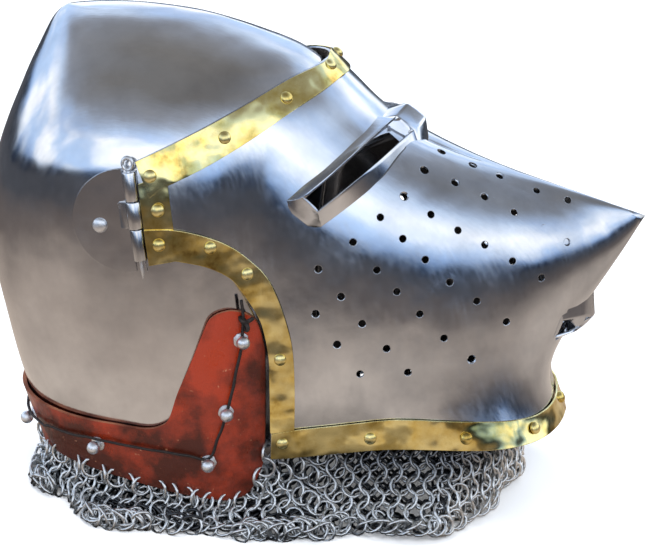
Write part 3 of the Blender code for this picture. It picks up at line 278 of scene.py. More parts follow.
def ridge_normal(z):
    """Which way the visor's ridge faces at a height."""
    height = share_at(z)
    lean = (front_reach(height + 0.01) - front_reach(height - 0.01)) * FACE_REACH / (0.02 * SKULL_HEIGHT)
    return Vector((0, -1, -lean)).normalized()


def mirrored(point):
    return Vector((-point.x, point.y, point.z))


def smooth_line(points, parts=6):
    """A line that bends smoothly through the points."""
    out = []
    n = len(points)
    for i in range(n - 1):
        p0, p1, p2, p3 = points[max(i - 1, 0)], points[i], points[i + 1], points[min(i + 2, n - 1)]
        for k in range(parts):
            t = k / parts
            out.append(tuple(0.5 * (2 * b + (c - a) * t + (2 * a - 5 * b + 4 * c - d) * t * t
                                    + (3 * b - a - 3 * c + d) * t ** 3)
                             for a, b, c, d in zip(p0, p1, p2, p3)))
    return out + [tuple(points[-1])]


def edge_line(places, parts=5):
    """A smooth line through side-view places, as Y and Z."""
    return smooth_line([side(p) for p in places], parts)


# Mesh helpers

PIECES = bpy.data.collections.new("dressed_pieces")
bpy.context.scene.collection.children.link(PIECES)


def add_piece(name, mesh, body, materials, smooth=True):
    obj = bpy.data.objects.new(name, mesh)
    PIECES.objects.link(obj)
    for mat in materials:
        mesh.materials.append(mat)
    if smooth is not None:
        for polygon in mesh.polygons:
            polygon.use_smooth = smooth
    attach(obj, body)
    return obj


def mesh_from(name, points, faces, outward=True):
    bm = bmesh.new()
    verts = [bm.verts.new(p) for p in points]
    for face in faces:
        bm.faces.new([verts[i] for i in face])
    if outward:
        bmesh.ops.recalc_face_normals(bm, faces=bm.faces)
    mesh = bpy.data.meshes.new(name)
    bm.to_mesh(mesh)
    bm.free()
    return mesh


def grid_faces(rows, cols, wrap_rows=False, wrap_cols=False):
    last_row = rows if wrap_rows else rows - 1
    last_col = cols if wrap_cols else cols - 1
    return [(r * cols + c, r * cols + (c + 1) % cols,
             (r + 1) % rows * cols + (c + 1) % cols, (r + 1) % rows * cols + c)
            for r in range(last_row) for c in range(last_col)]


def lofted(name, rings, caps=True, wrap_rows=False):
    """A skin over rings of points, one ring after another."""
    count, cols = len(rings), len(rings[0])
    faces = grid_faces(count, cols, wrap_rows=wrap_rows, wrap_cols=True)
    if caps:
        faces += [tuple(range(cols)), tuple(range((count - 1) * cols, count * cols))]
    return mesh_from(name, [p for ring in rings for p in ring], faces)


def with_modifiers(mesh, *settings):
    """The mesh that a list of modifiers makes of a mesh."""
    obj = bpy.data.objects.new("work", mesh)
    bpy.context.scene.collection.objects.link(obj)
    for kind, values in settings:
        modifier = obj.modifiers.new(kind.lower(), kind)
        for key, value in values.items():
            setattr(modifier, key, value)
    bpy.context.view_layer.update()
    out = bpy.data.meshes.new_from_object(obj.evaluated_get(bpy.context.evaluated_depsgraph_get()))
    bpy.data.objects.remove(obj)
    return out


def boolean(mesh, cutter, operation):
    tool = bpy.data.objects.new("tool", cutter)
    bpy.context.scene.collection.objects.link(tool)
    out = with_modifiers(mesh, ("BOOLEAN", {"object": tool, "operation": operation, "solver": "EXACT"}))
    bpy.data.objects.remove(tool)
    return out


def joined(name, meshes):
    bm = bmesh.new()
    for mesh in meshes:
        bm.from_mesh(mesh)
    out = bpy.data.meshes.new(name)
    bm.to_mesh(out)
    bm.free()
    return out


def mirror_mesh(mesh):
    out = mesh.copy()
    out.transform(Matrix.Scale(-1, 4, Vector((1, 0, 0))))
    out.flip_normals()
    return out


def prism(outline, low=-SIDE_REACH, high=SIDE_REACH):
    n = len(outline)
    points = [Vector((x, y, z)) for x in (low, high) for y, z in outline]
    faces = [list(range(n)), list(range(n, 2 * n))]
    faces += [[i, (i + 1) % n, n + (i + 1) % n, n + i] for i in range(n)]
    return mesh_from("prism", points, faces)


def turned(profile, steps):
    """A turned body from a profile of radius and height; its first and last points lie on the axis."""
    points, faces = [Vector((0, 0, profile[0][1]))], []
    for r, h in profile[1:-1]:
        points += [Vector((r * cos(2 * pi * k / steps), r * sin(2 * pi * k / steps), h)) for k in range(steps)]
    points.append(Vector((0, 0, profile[-1][1])))
    for k in range(steps):
        j = (k + 1) % steps
        faces.append((0, 1 + j, 1 + k))
        for r in range(len(profile) - 3):
            a, b = 1 + r * steps, 1 + (r + 1) * steps
            faces.append((a + k, a + j, b + j, b + k))
        a = 1 + (len(profile) - 3) * steps
        faces.append((a + k, a + j, len(points) - 1))
    return mesh_from("turned", points, faces)


def placed(mesh, point, direction, spin=0.0):
    turn = Vector((0, 0, 1)).rotation_difference(direction).to_matrix().to_4x4()
    mesh.transform(Matrix.Translation(point) @ turn @ Matrix.Rotation(spin, 4, "Z"))
    return mesh


def both_sides(mesh):
    return joined("both", [mesh, mirror_mesh(mesh)])


def tube(points, radius, steps=10, closed=False, squash=1.0):
    """A round bar along points."""
    n = len(points)
    rings = []
    up = None
    for i, p in enumerate(points):
        ahead = points[(i + 1) % n] if closed or i < n - 1 else p
        behind = points[i - 1] if closed or i > 0 else p
        along = (ahead - behind).normalized()
        if up is None:
            up = along.orthogonal().normalized()
        up = (up - along * up.dot(along)).normalized()
        other = along.cross(up)
        rings.append([p + up * radius * cos(2 * pi * k / steps) + other * radius * squash * sin(2 * pi * k / steps)
                      for k in range(steps)])
    return lofted("tube", rings, caps=not closed, wrap_rows=closed)


# Sheets on the base surfaces

def skull_rows(heights, count, open_face):
    """Rows of points on the skull's left half, from the face opening or the middle back to the nape."""
    opening = edge_line(FACE_OPENING, 4)
    edge = curve([p[1] for p in opening], [p[0] for p in opening])
    rows = []
    for z in heights:
        front, back, _, widest, _ = skull_section(z)
        start = 0.0
        if open_face and z < opening[-1][1]:
            start = acos(min((widest - edge(z)) / (widest - front), 1.0))
        row = []
        for k in range(count + 1):
            turn = start + (pi - start) * k / count
            y = widest - (widest - front) * cos(turn) if turn <= pi / 2 else widest - (back - widest) * cos(turn)
            x = 0.0 if turn < 0.0001 or k == count else skull_x(y, z)
            row.append(Vector((x, y, z)))
        rows.append(row)
    return rows


def half_sheet(rows, apex=None):
    points = [p for row in rows for p in row]
    n = len(rows[0])
    faces = grid_faces(len(rows), n)
    if apex is not None:
        last = (len(rows) - 1) * n
        faces += [(last + i, last + i + 1, len(points)) for i in range(n - 1)]
        points.append(apex)
    mesh = mesh_from("half", points, faces, outward=False)
    if mesh.polygons[len(mesh.polygons) // 2].normal.x < 0:
        mesh.flip_normals()
    return mesh


def sheet(half, wall, stand):
    """A plate of one thickness from half a surface; it stands off that surface, or lies inside it when negative."""
    return with_modifiers(half.copy(), ("MIRROR", {"use_clip": True, "merge_threshold": 0.00005}),
                          ("SOLIDIFY", {"thickness": wall, "offset": 2 * (stand + wall / 2) / wall,
                                        "use_even_offset": False, "use_quality_normals": True}))


def shade_like(mesh, base, side_material=None):
    """Give the faces that follow a base sheet its smooth normals, so cut edges leave no mark in the polish."""
    tree = BVHTree.FromPolygons([v.co for v in base.vertices], [tuple(p.vertices) for p in base.polygons])
    corners = [[base.vertices[i].co for i in p.vertices] for p in base.polygons]
    turns = [[base.vertices[i].normal for i in p.vertices] for p in base.polygons]

    def smooth_normal(point):
        place = Vector((abs(point.x), point.y, point.z))
        hit, normal, index, _ = tree.find_nearest(place)
        weights = poly_3d_calc(corners[index], hit)
        out = Vector((0, 0, 0))
        for weight, turn in zip(weights, turns[index]):
            out += turn * weight
        if abs(point.x) < 0.00002:
            out.x = 0.0
        elif point.x < 0:
            out.x = -out.x
        return out.normalized() if out.length > 0 else normal

    known = {}
    normals = [None] * len(mesh.loops)
    for polygon in mesh.polygons:
        polygon.use_smooth = True
        centre = smooth_normal(polygon.center)
        facing = polygon.normal.dot(centre)
        follows = abs(facing) > 0.8
        if side_material is not None and not follows:
            polygon.material_index = side_material
        for loop in polygon.loop_indices:
            vertex = mesh.loops[loop].vertex_index
            if follows:
                if vertex not in known:
                    known[vertex] = smooth_normal(mesh.vertices[vertex].co)
                normals[loop] = known[vertex] if facing > 0 else -known[vertex]
            else:
                normals[loop] = polygon.normal.copy()
    mesh.normals_split_custom_set(normals)
    return mesh


# Materials

def linear(hex_colour):
    """A linear colour from an sRGB hex value."""
    parts = [int(hex_colour[i:i + 2], 16) / 255 for i in (1, 3, 5)]
    return tuple(c / 12.92 if c <= 0.04045 else ((c + 0.055) / 1.055) ** 2.4 for c in parts) + (1.0,)


def new_material(name):
    mat = bpy.data.materials.new(name)
    mat.use_nodes = True
    return mat, mat.node_tree, mat.node_tree.nodes["Principled BSDF"]


def put(tree, node, settings=None, **links):
    """Give a node its settings and links; a link is an input's name or place (i0, i1) and what feeds it."""
    for key, value in (settings or {}).items():
        if key == "stops":
            elements = node.color_ramp.elements
            while len(elements) < len(value):
                elements.new(0.5)
            for element, (place, colour) in zip(elements, value):
                element.position = place
                element.color = linear(colour) if isinstance(colour, str) else (colour, colour, colour, 1.0)
        elif isinstance(key, str) and hasattr(node, key):
            setattr(node, key, value)
        else:
            node.inputs[key].default_value = value
    for key, source in links.items():
        place = int(key[1:]) if key[0] == "i" and key[1:].isdigit() else key.replace("_", " ")
        tree.links.new(getattr(source, "outputs", [source])[0], node.inputs[place])
    return node


def add(tree, kind, settings=None, **links):
    """Add a shader node of a kind."""
    return put(tree, tree.nodes.new("ShaderNode" + kind), settings, **links)


def polished_steel(name, tint, dark, wave, scratch, roughness):
    """Mild steel ground and polished by hand: long soft waves in the mirror and fine crossing scratches.

    The clouds are some 70 mm across, the waves 45 mm and the hazy patches 30 mm. Real scratches are finer than
    a picture can show, so they are drawn 1 mm wide and 5 to 20 mm long.
    """
    mat, tree, shader = new_material(name)
    place = add(tree, "TexCoord").outputs["Object"]
    cloud = add(tree, "TexNoise", {"Scale": 14.0, "Detail": 5.0, "Roughness": 0.6}, Vector=place)
    colour = add(tree, "ValToRGB", {"stops": ((0.30, dark), (0.62, tint))}, Fac=cloud)
    lines = []
    for scale, turn in (((900.0, 60.0, 180.0), (0.5, 0.2, 0.3)), ((900.0, 240.0, 50.0), (-0.7, 0.1, -0.2))):
        stretch = add(tree, "Mapping", {"Scale": scale, "Rotation": turn}, Vector=place)
        lines.append(add(tree, "TexNoise", {"Scale": 1.0, "Detail": 2.0}, Vector=stretch))
    both = add(tree, "Math", None, i0=lines[0], i1=lines[1])
    rough = add(tree, "MapRange", {1: 0.6, 2: 1.4, 3: roughness * 0.72, 4: roughness * 1.4}, i0=both)
    patch = add(tree, "TexNoise", {"Scale": 32.0, "Detail": 4.0}, Vector=place)
    haze = add(tree, "MapRange", {1: 0.45, 2: 0.72, 3: 0.0, 4: roughness * 0.7}, i0=patch)
    total = add(tree, "Math", None, i0=rough, i1=haze)
    soft = add(tree, "TexNoise", {"Scale": 22.0, "Detail": 2.0, "Roughness": 0.4}, Vector=place)
    edge = add(tree, "Bevel", {"samples": 4, "Radius": 0.0005})
    big = add(tree, "Bump", {"Distance": wave}, Height=soft, Normal=edge)
    fine = add(tree, "Bump", {"Distance": scratch}, Height=both, Normal=big)
    put(tree, shader, {"Metallic": 1.0}, Base_Color=colour, Roughness=total, Normal=fine)
    return mat


def yellow_brass(name, dent, buff):
    """Sheet brass, hammered thin and buffed: a pale yellow mirror with shallow dents and a little tarnish.

    The tarnish comes in patches of some 18 mm and the hammer's dents are some 23 mm apart.
    """
    mat, tree, shader = new_material(name)
    place = add(tree, "TexCoord").outputs["Object"]
    cloud = add(tree, "TexNoise", {"Scale": 55.0, "Detail": 5.0, "Roughness": 0.6}, Vector=place)
    colour = add(tree, "ValToRGB",
                 {"stops": ((0.30, "#a98b45"), (0.40, "#d9c070"), (0.60, "#efe0a0"))}, Fac=cloud)
    rough = add(tree, "MapRange", {1: 0.35, 2: 0.75, 3: buff, 4: buff + 0.1}, i0=cloud)
    dents = add(tree, "TexNoise", {"Scale": 44.0, "Detail": 1.5}, Vector=place)
    edge = add(tree, "Bevel", {"samples": 4, "Radius": 0.0004})
    bump = add(tree, "Bump", {"Distance": dent}, Height=dents, Normal=edge)
    put(tree, shader, {"Metallic": 1.0}, Base_Color=colour, Roughness=rough, Normal=bump)
    return mat


def waxed_leather(name, deep, light, worn, gloss):
    """Thick vegetable-tanned leather dyed red brown and waxed: a fine grain, soft creases and worn patches.

    The dye lies in clouds of some 33 mm, darkened towards the foot by painted shade; creases are 14 mm, rubs 5 mm
    and the grain 1 mm.
    """
    mat, tree, shader = new_material(name)
    place = add(tree, "TexCoord").outputs["Object"]
    cloud = add(tree, "TexNoise", {"Scale": 30.0, "Detail": 6.0, "Roughness": 0.6}, Vector=place)
    height = add(tree, "SeparateXYZ", None, Vector=place).outputs["Z"]
    # Painted shade: the colour darkens towards the foot of the leather.
    painted_foot_shade = add(tree, "MapRange", {1: 0.02, 2: 0.13, 3: -0.16, 4: 0.10}, i0=height)
    shade = add(tree, "Math", None, i0=cloud, i1=painted_foot_shade)
    colour = add(tree, "ValToRGB", {"stops": ((0.34, deep), (0.58, light))}, Fac=shade)
    rubs = add(tree, "TexNoise", {"Scale": 210.0, "Detail": 4.0, "Roughness": 0.7}, Vector=place)
    share = add(tree, "ValToRGB", {"stops": ((0.66, 0.0), (0.74, 0.7))}, Fac=rubs)
    mixed = add(tree, "Mix", {"data_type": "RGBA", 7: linear(worn)}, Factor=share, i6=colour)
    crease = add(tree, "TexNoise", {"Scale": 70.0, "Detail": 6.0}, Vector=place)
    grain = add(tree, "TexVoronoi", {"Scale": 900.0}, Vector=place)
    first = add(tree, "Bump", {"Distance": 0.0016}, Height=crease)
    second = add(tree, "Bump", {"Strength": 0.5, "Distance": 0.0001}, Height=grain, Normal=first)
    rough = add(tree, "MapRange", {1: 0.3, 2: 0.7, 3: gloss, 4: gloss + 0.2}, i0=crease)
    put(tree, shader, {"IOR": 1.38}, Base_Color=mixed.outputs[2], Roughness=rough, Normal=second)
    return mat


def drawn_wire(name, dull_and_shade, rubbed):
    """Rings of galvanised wire: bright where they rub, in spots of some 4 mm, and darkened with painted shade high
    up at the front, under the visor.
    """
    mat, tree, shader = new_material(name)
    place = add(tree, "TexCoord").outputs["Object"]
    cloud = add(tree, "TexNoise", {"Scale": 260.0, "Detail": 4.0, "Roughness": 0.7}, Vector=place)
    colour = add(tree, "ValToRGB", {"stops": ((0.22, dull_and_shade), (0.50, rubbed))}, Fac=cloud)
    rough = add(tree, "MapRange", {1: 0.3, 2: 0.7, 3: 0.26, 4: 0.5}, i0=cloud)
    # Painted shade: rings high up at the front, under the visor, are mixed to the darker colour.
    axes = add(tree, "SeparateXYZ", None, Vector=place)
    high = add(tree, "MapRange", {1: 0.018, 2: 0.042, 3: 0.0, 4: 1.0}, i0=axes.outputs["Z"])
    ahead = add(tree, "MapRange", {1: 0.010, 2: -0.030, 3: 0.0, 4: 0.9}, i0=axes.outputs["Y"])
    painted_visor_shade = add(tree, "Math", {"operation": "MULTIPLY"}, i0=high, i1=ahead)
    mixed = add(tree, "Mix", {"data_type": "RGBA", 7: linear(dull_and_shade)}, Factor=painted_visor_shade, i6=colour)
    put(tree, shader, {"Metallic": 1.0}, Base_Color=mixed.outputs[2], Roughness=rough)
    return mat


def dark_thong(name):
    """A dark waxed thong, nearly matt, mottled every 2 mm."""
    mat, tree, shader = new_material(name)
    place = add(tree, "TexCoord").outputs["Object"]
    cloud = add(tree, "TexNoise", {"Scale": 500.0, "Detail": 4.0}, Vector=place)
    colour = add(tree, "ValToRGB", {"stops": ((0.3, "#0d0a09"), (0.7, "#271c17"))}, Fac=cloud)
    bump = add(tree, "Bump", {"Distance": 0.0003}, Height=cloud)
    put(tree, shader, {"Roughness": 0.62}, Base_Color=colour, Normal=bump)
    return mat


SKULL_STEEL = polished_steel("skull_polished_steel", "#d9dadd", "#b9b9bc", 0.0012, 0.000018, 0.13)
VISOR_STEEL = polished_steel("visor_polished_steel", "#d3d6db", "#aeb2b9", 0.0011, 0.00002, 0.14)
HINGE_STEEL = polished_steel("hinge_filed_steel", "#dcdddf", "#98999c", 0.0009, 0.00003, 0.20)
BALL_STEEL = polished_steel("vervelle_turned_steel", "#f2f3f4", "#c9cacc", 0.0003, 0.00002, 0.34)
BAND_BRASS = yellow_brass("band_hammered_brass", 0.0026, 0.07)
RIVET_BRASS = yellow_brass("rivet_brass", 0.0003, 0.27)
RED_LEATHER = waxed_leather("aventail_red_leather", "#3d150a", "#8c2a0f", "#b07a58", 0.24)
CUT_LEATHER = waxed_leather("aventail_cut_leather_edge", "#5c2d1c", "#9a6044", "#b98a68", 0.6)
DARK_THONG = dark_thong("lace_dark_thong")
MAIL_WIRE = drawn_wire("mail_galvanised_wire", "#55565a", "#e6e6e4")
# Painted shade: the inner layer of links is given dark wire for the shade inside the mail.
SHADED_INNER_WIRE = drawn_wire("mail_inner_painted_shade_wire", "#28292b", "#4d4e50")


# Camera, floor and light

def aim(obj, place, target):
    obj.location = place
    obj.rotation_euler = (Vector(target) - Vector(place)).to_track_quat("-Z", "Y").to_euler()


CAMERA_TURN, CAMERA_RISE, CAMERA_AWAY = radians(-82), radians(20), 1.2
CAMERA_TARGET = Vector((0, -0.005, 0.130))
CAMERA_LENS = 107.7
SKY_STRENGTH = 1.9
CARD_DROP = 0.002
# Name, place, size, power and tint
SOFTBOXES = [
    ("key_softbox", (-1.6, -1.0, 2.0), (1.4, 0.9), 30.0, "#ffffff"),
    ("top_softbox", (0.3, 0.6, 2.4), (1.6, 1.6), 34.0, "#fffdfa"),
    ("fill_softbox", (-1.8, 1.6, 1.1), (0.5, 1.2), 12.0, "#fff8ef"),
    ("rim_softbox", (1.9, -0.8, 1.4), (0.8, 1.4), 14.0, "#ffffff"),
]


def stage_sheet(name, half, mat):
    """A flat square of the studio, from its half size."""
    corners = [(-half, -half, 0), (half, -half, 0), (half, half, 0), (-half, half, 0)]
    obj = bpy.data.objects.new(name, mesh_from(name, corners, [(0, 1, 2, 3)]))
    obj.data.materials.append(mat)
    bpy.context.scene.collection.objects.link(obj)
    return obj


def make_floor():
    mat, tree, shader = new_material("pale_floor_paper")
    put(tree, shader, {"Base Color": linear("#fbfbfa"), "Roughness": 0.9, "Emission Color": linear("#ffffff"),
                       "Emission Strength": 0.12})
    stage_sheet("floor", 6, mat).visible_glossy = False


def make_card():
    """A warm grey card at the floor, seen only by mirror surfaces, darkens what the polish reflects from below; its
    nearly black middle is painted shadow under the helmet.
    """
    mat, tree, _ = new_material("warm_grey_card")
    place = add(tree, "TexCoord").outputs["Object"]
    cloud = add(tree, "TexNoise", {"Scale": 3.0, "Detail": 3.0}, Vector=place)
    away = add(tree, "VectorMath", {"operation": "LENGTH"}, i0=place)
    wander = add(tree, "Math", {"operation": "MULTIPLY_ADD", 1: 0.5, 2: -0.25}, i0=cloud)
    reach = add(tree, "Math", None, i0=away.outputs["Value"], i1=wander)
    scaled = add(tree, "Math", {"operation": "MULTIPLY", 1: 0.25}, i0=reach)
    # Painted shadow: nearly black out to some 14 cm from the middle, bright beyond about 24 cm.
    colour = add(tree, "ValToRGB",
                 {"stops": ((0.035, "#161413"), (0.06, "#cdbfb2"), (0.10, "#b5a79b"), (0.17, "#6d6460"),
                            (0.40, "#4c4e54"))}, Fac=scaled)
    glow = add(tree, "Emission", {"Strength": 1.25}, Color=colour)
    put(tree, tree.nodes["Material Output"], Surface=glow)
    card = stage_sheet("ground_card", 5, mat)
    card.location.z = -CARD_DROP
    card.visible_camera = card.visible_diffuse = card.visible_shadow = False


def make_sky():
    """What the polish mirrors: a dark skyline, a bright band over it, blue puffs and a grey zenith."""
    world = bpy.data.worlds.new("studio")
    bpy.context.scene.world = world
    world.use_nodes = True
    tree = world.node_tree
    where = add(tree, "TexCoord").outputs["Generated"]
    up = add(tree, "SeparateXYZ", None, Vector=where).outputs["Z"]
    cloud = add(tree, "TexNoise", {"Scale": 2.2, "Detail": 3.0, "Roughness": 0.5}, Vector=where)
    lift = add(tree, "Math", {"operation": "MULTIPLY_ADD", 1: 0.34, 2: -0.17}, i0=cloud)
    height = add(tree, "Math", None, i0=up, i1=lift)
    bright = add(tree, "ValToRGB",
                 {"stops": ((0.0, "#2f3137"), (0.05, "#39414b"), (0.11, "#b9c8dc"), (0.17, "#f4f8fc"),
                            (0.48, "#ffffff"), (0.64, "#b4c6de"), (0.76, "#7f838b"), (0.97, "#656361"))}, Fac=height)
    puffs = add(tree, "TexNoise", {"Scale": 2.7, "Detail": 4.0, "Roughness": 0.5}, Vector=where)
    blue = add(tree, "ValToRGB", {"stops": ((0.44, "#aec6e6"), (0.55, "#ffffff"))}, Fac=puffs)
    share = add(tree, "ValToRGB", {"stops": ((0.50, 1.0), (0.72, 0.12))}, Fac=height)
    sky = add(tree, "Mix", {"data_type": "RGBA", "blend_type": "MULTIPLY"}, Factor=share, i6=bright, i7=blue)
    seen = add(tree, "LightPath").outputs["Is Camera Ray"]
    plain = add(tree, "Mix", {"data_type": "RGBA", 7: linear("#c9cacb")}, Factor=seen, i6=sky.outputs[2])
    put(tree, tree.nodes["Background"], {"Strength": SKY_STRENGTH}, Color=plain.outputs[2])


def studio():
    scene = bpy.context.scene
    camera = bpy.data.objects.new("camera", bpy.data.cameras.new("camera"))
    scene.collection.objects.link(camera)
    camera.data.sensor_width = 36.0
    camera.data.lens = CAMERA_LENS
    level = cos(CAMERA_RISE)
    way = Vector((sin(CAMERA_TURN) * level, -cos(CAMERA_TURN) * level, sin(CAMERA_RISE)))
    aim(camera, CAMERA_TARGET + way * CAMERA_AWAY, CAMERA_TARGET)
    scene.camera = camera
    scene.view_settings.view_transform = "Standard"
    make_floor()
    make_card()
    make_sky()
    for name, place, size, power, tint in SOFTBOXES:
        lamp = bpy.data.lights.new(name, "AREA")
        lamp.shape = "RECTANGLE"
        lamp.size, lamp.size_y = size
        lamp.energy = power
        lamp.color = linear(tint)[:3]
        obj = bpy.data.objects.new(name, lamp)
        scene.collection.objects.link(obj)
        aim(obj, place, (0, 0, 0.15))
        obj.visible_glossy = False


# Skull

def make_skull():
    """The bowl: rows closer together towards the crown, then three that round the point off."""
    count, across = 66, 60
    crown = SKULL_SECTIONS[-1][0]
    heights = [SKULL_FOOT + SKULL_HEIGHT * crown * sin(pi / 2 * k / count) for k in range(count + 1)]
    rows = skull_rows(heights, across, True)
    apex = Vector((0, MIDDLE_Y + APEX_PLACE * HALF_LENGTH, SKULL_FOOT + SKULL_HEIGHT))
    for t in (0.3, 0.6, 0.85):
        shrink = sqrt(1 - t)
        rows.append([Vector((p.x * shrink, apex.y + (p.y - apex.y) * shrink, p.z + (apex.z - p.z) * t))
                     for p in rows[count]])
    half = half_sheet(rows, apex)
    mesh = sheet(half, WALL, -WALL)
    for polygon in mesh.polygons:
        polygon.use_smooth = True
    skull = add_piece("polished_skull", mesh, "helmet", [SKULL_STEEL])
    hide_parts("skull")


# Visor

LONG_EASINGS = 70
FLARE_EASINGS = 90
FLARE_TOP = 0.26
FLARE_FADE = 0.10
KNUCKLE_DIAMETER = 0.0078
KNUCKLE_CLEARANCE = 0.0008
FRAME_SINK = 0.0012
FRAME_WALL = 0.0015
SIGHT_SAG = 0.004
FRAME_EDGE = 0.0003
BRIDGE_EDGE = 0.0016
BREATH_RADIUS = 0.0022
BREATH_LIP_RADIUS = 0.0028
BREATH_CHAMFER = (-0.0005, 0.0001)
BREATH_REACH = 0.005
SIGHT_WINDOW = (0.012, 0.11)
MOUTH_WINDOW = (0.0035, 0.022)
MOUTH_WINDOW_Y = (-0.2, -0.125)


def visor_half(high=0.95, below=48, above=36, steps=54, rear=14):
    """Half of the visor's outside, in rows from the foot to above the brow, each from the rear to the ridge."""
    heights = [TIP_HEIGHT * k / below for k in range(below)]
    heights += [TIP_HEIGHT + (high - TIP_HEIGHT) * k / above for k in range(above + 1)]
    grid = []
    for height in heights:
        z = height_at(height)
        front_y, width = visor_row(z)
        row = []
        for k in range(rear):
            y = JOIN_Y + (1 - k / rear) * 0.40 * SKULL_LENGTH
            row.append(Vector((width(y), y, z)))
        for k in range(steps + 1):
            step = 1 - k / steps
            y = front_y + step * step * (JOIN_Y - front_y)
            row.append(Vector((width(y) if step > 0 else 0.0, y, z)))
        grid.append(row)
    # The sheet is hammered round: the widths are eased from row to row, but not at the two edges
    last = len(grid) - 1
    for _ in range(LONG_EASINGS):
        before = [[p.copy() for p in row] for row in grid]
        for r in range(1, last):
            height = share_at(grid[r][0].z)
            ease = min(max(height / 0.06, 0), 1) * min(max((0.80 - height) / 0.12, 0), 1)
            for c, p in enumerate(grid[r][:-1]):
                middle = (before[r - 1][c] + before[r + 1][c]) / 2
                from_ridge = min((len(grid[r]) - 1 - c) / (0.3 * steps), 1)
                p.x += ease * (middle.x - p.x) / 2
                p.y += ease * from_ridge * (middle.y - p.y) / 2
    # The flare over the bottom band is eased both ways
    for _ in range(FLARE_EASINGS):
        before = [[p.copy() for p in row] for row in grid]
        for r in range(1, last):
            height = share_at(grid[r][0].z)
            ease = min(max((FLARE_TOP - height) / FLARE_FADE, 0), 1)
            if ease == 0:
                break
            for c in range(1, len(grid[r]) - 1):
                middle = (before[r - 1][c] + before[r + 1][c] + before[r][c - 1] + before[r][c + 1]) / 4
                p = grid[r][c]
                p.x += ease * (middle.x - p.x) * 0.5
                p.y += ease * (middle.y - p.y) * 0.5
    return half_sheet(grid)


def rear_line():
    """The visor's rear edge beside the hinge: Y at a height."""
    gap = KNUCKLE_DIAMETER / 2 + KNUCKLE_CLEARANCE
    top, foot = side(PIN_TOP), side(PIN_FOOT)
    lean = (top[0] - foot[0]) / (top[1] - foot[1])
    return lambda z: foot[0] - gap + lean * (z - foot[1])


def visor_outline():
    rear = rear_line()
    cheek = edge_line(CHEEK_EDGE[:-1])
    low, high = height_at(CHEEK_CORNER), height_at(BROW_CORNER)
    brow = edge_line(BROW_EDGE[1:])
    bottom = edge_line(BOTTOM_EDGE, 4)
    front = JOIN_Y - FAR
    return ([(front, bottom[0][1])] + bottom[:-1] + cheek + [(rear(low), low), (rear(high), high)] + brow
            + [(brow[-1][0], brow[-1][1] + FAR), (front, brow[-1][1] + FAR)])


def sections_of(table):
    """Foot, rim, rim and foot points of a raised frame, from its outer end to the ridge, finely spaced."""
    fine = []
    for i in range(4):
        track = smooth_line([tuple(s[i]) for s in table], 5)
        fine.append([Vector(p) for p in track])
    return [list(row) for row in zip(*fine)]


def sight_sections():
    rows = []
    for below, above, rim_below, rim_above, width in SIGHT:
        feet = []
        for place in (below, above):
            y, z = side(place)
            out = normal_on(visor_x, y, z) if width > 0.2 else ridge_normal(z)
            feet.append(Vector((visor_x(y, z) if width > 0 else 0.0, y, z)) - out * FRAME_SINK)
        rims = [Vector((width * HALF_WIDTH, *side(p))) for p in (rim_below, rim_above)]
        rows.append([feet[0], rims[0], rims[1], feet[1]])
    return rows


def on_front(x, height, lift):
    """A point of the visor's front at a half width and height, found by halving."""
    z = height_at(height)
    front_y, width = visor_row(z)
    low, high = front_y, JOIN_Y
    for _ in range(30):
        middle = (low + high) / 2
        low, high = (middle, high) if width(middle) < x else (low, middle)
    out = normal_on(visor_x, low, z) if x > 0 else ridge_normal(z)
    forward = Vector((0, out.y, out.z)).normalized()
    return Vector((x, low, z)) + forward * lift


def mouth_sections():
    rows = []
    for width, foot_low, rim_low, stand_low, rim_high, stand_high, foot_high in MOUTH:
        x = width * HALF_WIDTH
        rows.append([on_front(x, foot_low, -FRAME_SINK), on_front(x, rim_low, stand_low * MOUTH_STAND),
                     on_front(x, rim_high, stand_high * MOUTH_STAND), on_front(x, foot_high, -FRAME_SINK)])
    return rows


def collar(sections, first, last, wall, sag, cap_steps=4):
    """The sheet round one slot of a raised frame: along its foot side, round the ridge end and back."""
    low = [(s[0], s[1]) for s in sections[first:last + 1]]
    high = [(s[3], s[2]) for s in sections[first:last + 1]]
    ends = []
    for a, b in ((low[-1], high[-1]), (high[0], low[0])):
        ends.append([(a[0].lerp(b[0], k / cap_steps), a[1].lerp(b[1], k / cap_steps)) for k in range(1, cap_steps)])
    loop = low + ends[0] + high[::-1] + ends[1]
    cols = 7
    count = len(low)
    points = []
    for number, (foot, rim) in enumerate(loop):
        above = sag if number >= count + cap_steps - 1 else 0.0
        slot = loop[(count - 1 - (number - count - cap_steps + 1)) % count][0] if above else foot
        spread = (foot - slot).normalized() if above else Vector()
        for k in range(cols):
            t = k / (cols - 1)
            points.append(foot.lerp(rim, t) + spread * above * (1 - t) ** 2)
    mesh = mesh_from("collar", points, grid_faces(len(loop), cols, wrap_rows=True), outward=False)
    middle = sum(points, Vector()) / len(points)
    polygon = mesh.polygons[cols * 6]
    if polygon.normal.dot(polygon.center - middle) < 0:
        mesh.flip_normals()
    return with_modifiers(mesh, ("SOLIDIFY", {"thickness": wall, "offset": -1.0, "use_even_offset": True}))


def bridge(sections, first, wall):
    """The solid cap over the ridge between two slots."""
    rings = sections[first:] + [[mirrored(p) for p in s] for s in sections[first:-1][::-1]]
    out = []
    for foot_low, rim_low, rim_high, foot_high in rings:
        out.append([foot_low, rim_low, rim_low.lerp(rim_high, 0.5) + (rim_low - foot_low).normalized() * wall * 0.3,
                    rim_high, foot_high])
    return lofted("bridge", out)


def breath_cutters():
    meshes = []
    for place in BREATHS:
        y, z = side(place)
        out = normal_on(visor_x, y, z)
        middle = Vector((visor_x(y, z), y, z))
        low, high = BREATH_CHAMFER
        hole = turned([(0, -BREATH_REACH), (BREATH_RADIUS, -BREATH_REACH), (BREATH_RADIUS, low),
                       (BREATH_LIP_RADIUS, high), (BREATH_LIP_RADIUS, BREATH_REACH), (0, BREATH_REACH)], 18)
        placed(hole, middle, out)
        meshes += [hole, mirror_mesh(hole)]
    return meshes


